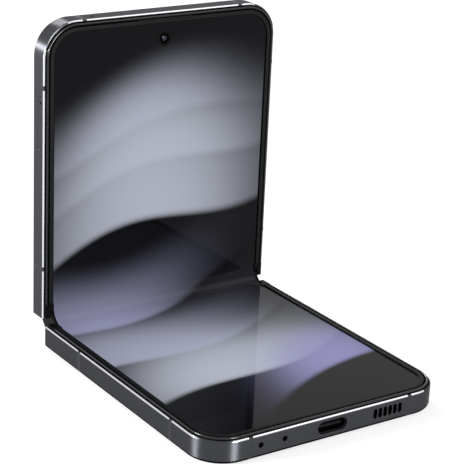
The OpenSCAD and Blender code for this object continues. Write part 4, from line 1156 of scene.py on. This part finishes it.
# Each row: its number of plates and their step, the place of its middle in y and z, the
# width, length, height and corner of a plate, its finish, body and slot
ROWS = {
    "port_contacts_upper": (
        (12, 0.5 * mm, contact_y, PORT_MIDDLE + TONGUE_HALF),
        contact,
        contact_look,
    ),
    "port_contacts_lower": (
        (12, 0.5 * mm, contact_y, PORT_MIDDLE - TONGUE_HALF - CONTACT_THICK),
        contact,
        contact_look,
    ),
    "earpiece_gauze": (
        (1, 0.0, slot_centre_y, gauze_foot),
        (slot_width, slot_length, rim_top - 0.02 * mm, 0.05 * mm),
        (rubber_and_painted_shade, "lid", "inner_plastic"),
    ),
    "earpiece_ribs": (
        (2, 5.6 * mm, slot_centre_y, rib_foot),
        (0.6 * mm, slot_length, rim_top - 0.18 * mm, 0.05 * mm),
        (rim_plastic, "lid", "rim_plastic"),
    ),
}
for name, ((count, step, y, z), (width, length, height, corner), look) in ROWS.items():
    finish, body, slot = look
    values = {
        "Count": count,
        "Start": Vector(((1 - count) * step / 2, y, z)),
        "Step": Vector((step, 0, 0)),
        "Width": width,
        "Length": length,
        "Height": height,
        "Corner": corner,
        "Finish": finish,
    }
    grown(name, row, values, body)

# %% [markdown]
# ## Lenses and flash
#
# Each lens is a stack of turned parts: a blackened barrel with fine steps that catch stray
# light, a domed front element with a coating, and a flat sapphire cover over it all. A turned
# part is a section spun round its axis, so one function makes them from lists of radius and
# height. The flash is a small Fresnel lens: rings of ridges that spread the light.

# %% Turn the lenses
def turned(name, profile, centre, finish, steps=72):
    """Spins a section of (radius, height) points, in mm, round the Z axis at a centre."""
    shell = bmesh.new()
    points = [shell.verts.new((r * mm, 0, h * mm)) for r, h in profile]
    edges = [shell.edges.new(pair) for pair in zip(points, points[1:])]
    bmesh.ops.spin(
        shell,
        geom=points + edges,
        axis=(0, 0, 1),
        cent=(0, 0, 0),
        angle=2 * math.pi,
        steps=steps,
    )
    bmesh.ops.remove_doubles(shell, verts=shell.verts, dist=WELD / 2)
    bmesh.ops.recalc_face_normals(shell, faces=shell.faces)
    mesh = poured(shell, bpy.data.meshes.new(name))
    mesh.transform(Matrix.Translation(centre))
    mesh.materials.append(finish)
    piece = in_scene(name, placed(mesh, "lid"))
    smoothed(piece.data, 28)
    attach(piece, "lid")
    return piece


def dome(radius, rise, base, steps=8):
    """The section of a domed lens, from its axis at the top out and back along its base."""
    arc = [math.pi / 2 * i / steps for i in range(steps + 1)]
    return [(radius * math.sin(a), base + rise * math.cos(a)) for a in arc] + [(0, base)]


def stepped_barrel(outer, hole, top, floor, steps=4, wall=0.2, thick=0.05):
    """The section of a barrel whose hole narrows in steps, down to a flat floor."""
    points = [(0, floor - thick), (outer, floor - thick), (outer, top)]
    ledge = (outer - wall - hole) / steps
    drop = (top - floor) / steps
    for i in range(steps):
        edge = outer - wall - ledge * i
        points += [(edge, top - drop * i), (edge, top - drop * (i + 1))]
    return points + [(0, floor)]


def disc(radius, top, bottom, edge=0.05):
    """The section of a flat disc with broken edges."""
    return [
        (0, top),
        (radius - edge, top),
        (radius, top - edge),
        (radius, bottom + edge),
        (radius - edge, bottom),
        (0, bottom),
    ]


print("dome of", len(dome(1, 1, 0)), "points")

# %% Rear lenses
rear_low, rear_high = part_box("rear_lenses")
lens_row = half_to_upper.inverted() @ Vector((0, rear_high.y, (rear_low.z + rear_high.z) / 2))
lens_radius = (rear_high.z - rear_low.z) / 2 / mm
outer_x = rear_high.x - lens_radius * mm
inner_x = rear_low.x + lens_radius * mm
lens_top = (rear_high.y - rear_low.y) / mm
BARREL_HOLE, BARREL_FLOOR, BARREL_RIM = 2.3, 0.08, 0.16
DOME_RADIUS, DOME_RISE, DOME_BASE = 2.25, 0.34, 0.09
COVER_THICK, COVER_GAP = 0.12, 0.02
barrel = stepped_barrel(lens_radius, BARREL_HOLE, lens_top - BARREL_RIM, BARREL_FLOOR)
cover = disc(lens_radius - COVER_GAP, lens_top, lens_top - COVER_THICK)
STACK = (
    ("barrel", barrel, barrel_black),
    ("front_element", dome(DOME_RADIUS, DOME_RISE, DOME_BASE), lens_glass),
    ("cover", cover, cover_sapphire),
)
for name, x in (("wide", inner_x), ("main", outer_x)):
    centre = Vector((x, lens_row.y, 0))
    for part, profile, finish in STACK:
        facing_back = [(r, -h) for r, h in profile]
        piece = turned(f"{name}_lens_{part}", facing_back, centre, finish)
        if part == "barrel" and name == "wide":
            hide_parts("rear_lenses")
    print(name, "lens at", [round(v / mm, 1) for v in centre])

# %% Front camera and flash
front_spot = Vector((0, half_length - CAMERA_FROM_EDGE, 0))
front_face = (half_to_upper.inverted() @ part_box("front_camera")[0]).z / mm
# Radius of a point of the ring and its height over the glass, in mm
RING = ((0.62, 0), (1.34, 0), (1.34, 0.07), (1.2, 0.09), (0.8, 0.04), (0.62, 0))
ring_profile = [(radius, front_face + height) for radius, height in RING]
turned("front_camera_ring", ring_profile, front_spot, rubber_and_painted_shade)
front_dome = dome(0.66, 0.07, front_face + 0.005)
turned("front_camera_element", front_dome, front_spot, lens_glass)

flash_low, flash_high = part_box("flash_window")
flash_spot = half_to_upper.inverted() @ ((flash_low + flash_high) / 2)
flash_spot.z = 0
flash_radius = (flash_high.x - flash_low.x) / 2 / mm
RIDGES, RIDGE_TOP, RIDGE_ROOT, RIDGE_LEAN = 6, 0.05, 0.16, 0.05
FLASH_DEPTH, FLASH_EDGE, FLASH_MIDDLE, FLASH_BORDER = 0.7, 0.08, 0.1, 0.12
ridge_profile = [(0, FLASH_DEPTH), (flash_radius, FLASH_DEPTH), (flash_radius, FLASH_EDGE)]
for i in range(RIDGES):
    r = (flash_radius - FLASH_BORDER) * (1 - i / RIDGES)
    ridge_profile += [(r, RIDGE_TOP), (r - RIDGE_LEAN, RIDGE_ROOT)]
ridge_profile += [(0, FLASH_MIDDLE)]
fresnel = turned("flash_fresnel", ridge_profile, flash_spot, flash_lens)
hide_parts("flash_window")
print("flash of", round(2 * flash_radius, 1), "mm with", RIDGES, "ridges")

# %% [markdown]
# ## Finishes for the solids that stay
#
# All the other parts are right as solids and only need their finish. A phone's insides
# show when a part is looked at alone, and through the ports: sheet steel shields, green
# boards, foil pouches, wound copper, brass idlers and sintered hinge parts, drawn dark as
# painted shade.

# %% Finish the remaining solids
SOLID_FINISHES = {
    pouch_foil: ("lower_battery", "upper_battery"),
    copper_wire: ("charging_coil",),
    solder_resist: ("sub_board", "main_board"),
    inner_plastic: ("lower_inner_cover", "upper_inner_cover", "loudspeaker"),
    woven_mesh: ("speaker_mesh", "bottom_microphones", "top_microphone"),
    stamped_steel: (
        "vibration_motor",
        "board_shields",
        "earpiece_receiver",
        "card_reader",
        "key_switches",
    ),
    turned_steel: ("lower_screws", "upper_screws", "bracket_screws", "detent_springs"),
    shaded_sintered_steel: (
        "hinge_brackets",
        "lower_hinge_arms",
        "upper_hinge_arms",
        "detent_followers",
    ),
    magnet_nickel: ("lower_magnets", "upper_magnets"),
    cut_brass: ("lower_idler_gears", "upper_idler_gears"),
    barrel_black: ("rear_camera_modules", "front_camera", "fold_support_plate", "earpiece_mesh"),
    window_glass: ("cover_display",),
    card_plastic: ("memory_card",),
}
for finish, nodes in SOLID_FINISHES.items():
    for node in nodes:
        for place in solids[node].material_slots:
            place.material = finish
print("finished", sum(len(nodes) for nodes in SOLID_FINISHES.values()), "solids")

# %% [markdown]
# ## Studio
#
# The phone stands on pale seamless paper in an even white room. The room's shader tells what
# kind of ray asks: the eye, a mirror image or a look through glass sees plain white, and
# the light that falls on the phone is softer, so that lamps can give it a direction. The
# paper does the same, but only in part, so it keeps the phone's shadow.

# %% Room and floor
ROOM_LIGHT = 0.7
PAPER_GLOW = 0.68
FLOOR_SIZE = 6.0
FLOOR_DROP = 0.02 * mm


def seen_rays(tree):
    """1 for a ray from the camera, a mirror image or a look through glass, and 0 for others."""
    path = wire(tree, "ShaderNodeLightPath").outputs
    eye = wire(tree, "MAXIMUM", {0: path["Is Camera Ray"], 1: path["Is Glossy Ray"]})
    return wire(tree, "MAXIMUM", {0: eye, 1: path["Is Transmission Ray"]})


world = bpy.data.worlds.new("room")
bpy.context.scene.world = world
world.use_nodes = True
room = world.node_tree
strength = wire(room, "MULTIPLY_ADD", {0: seen_rays(room), 1: 1 - ROOM_LIGHT, 2: ROOM_LIGHT})
feed(room.nodes["Background"], {"Color": (1, 1, 1, 1), "Strength": strength})

paper, paper_tree, paper_shader = patterned(
    "seamless_paper",
    {"Scale": 1 / (2 * mm)},
    tones=(linear("#F4F4F4"), linear("#FAFAFA")),
    Roughness=0.9,
    Specular_IOR_Level=0.2,
)
glow = wire(paper_tree, "ShaderNodeEmission", {"Strength": 1.0})
share = wire(paper_tree, "MULTIPLY", {0: seen_rays(paper_tree), 1: PAPER_GLOW})
both = wire(paper_tree, "ShaderNodeMixShader", {0: share, 1: paper_shader, 2: glow})
feed(paper_tree.nodes["Material Output"], {"Surface": both})
bpy.ops.mesh.primitive_plane_add(size=FLOOR_SIZE, location=(0, 0, -FLOOR_DROP))
floor = bpy.context.object
floor.name = "floor"
floor.data.materials.append(paper)
print("room light", ROOM_LIGHT, "and paper glow", PAPER_GLOW)

# %% [markdown]
# Four soft boxes light it. One behind makes the rounded corners and the edges that lean away
# gleam, and one overhead in front gives the screen's edges and the paper a little more. Two
# small bright ones stand low, at the left and in front: each shows as a streak down a rounded
# corner of the metal. A lamp's power is worked out from how bright its face is to look.

# %% Lamps
LAMPS = (
    # name, direction from the phone, distance, width and height in metres, brightness
    ("back_box", (0.16, 0.858, 0.48), 1.5, 0.36, 0.36, 26.0),
    ("overhead_box", (0.535, -0.34, 0.774), 1.5, 0.6, 0.6, 2.0),
    ("left_box", (-0.921, 0.271, 0.272), 1.3, 0.34, 0.22, 150.0),
    ("front_box", (0.086, -0.986, 0.15), 1.3, 0.34, 0.28, 90.0),
)
for name, direction, distance, width, height, brightness in LAMPS:
    lamp_data = bpy.data.lights.new(name, "AREA")
    lamp_data.shape = "RECTANGLE"
    lamp_data.size, lamp_data.size_y = width, height
    lamp_data.energy = brightness * math.pi * width * height
    lamp = in_scene(name, lamp_data)
    aim = Vector(direction).normalized()
    turn = aim.to_track_quat("Z", "Y").to_matrix().to_4x4()
    lamp.matrix_world = Matrix.Translation(aim * distance) @ turn
    print(name, round(lamp_data.energy, 2), "watts")

# %% [markdown]
# ## Camera
#
# A long lens looks down a little from the front left, so the upright lines of the phone stay
# almost parallel. Its place and its three directions are given in the frame of the phone, and
# its focal length in pixels of a picture 464 pixels wide.

# %% Place the camera and finish
FOCAL_PX = 1666.0
PICTURE_PX = 464.0
SENSOR_MM = 36.0
camera_place = Vector((-230.061, -326.455, 184.635)) * mm
right = Vector((0.8305, -0.5553, 0.0431))
down = Vector((-0.1554, -0.3052, -0.9395))
forward = Vector((0.5349, 0.7736, -0.3398))
camera_data = bpy.data.cameras.new("camera")
camera_data.sensor_width = SENSOR_MM
camera_data.lens = FOCAL_PX / PICTURE_PX * SENSOR_MM
camera_data.clip_start = 0.01
camera_data.clip_end = 20.0
camera = in_scene("camera", camera_data)
directions = Matrix((right, -down, -forward)).transposed().to_4x4()
camera.matrix_world = Matrix.Translation(camera_place) @ directions
bpy.context.scene.camera = camera
bpy.context.scene.view_settings.view_transform = "Standard"
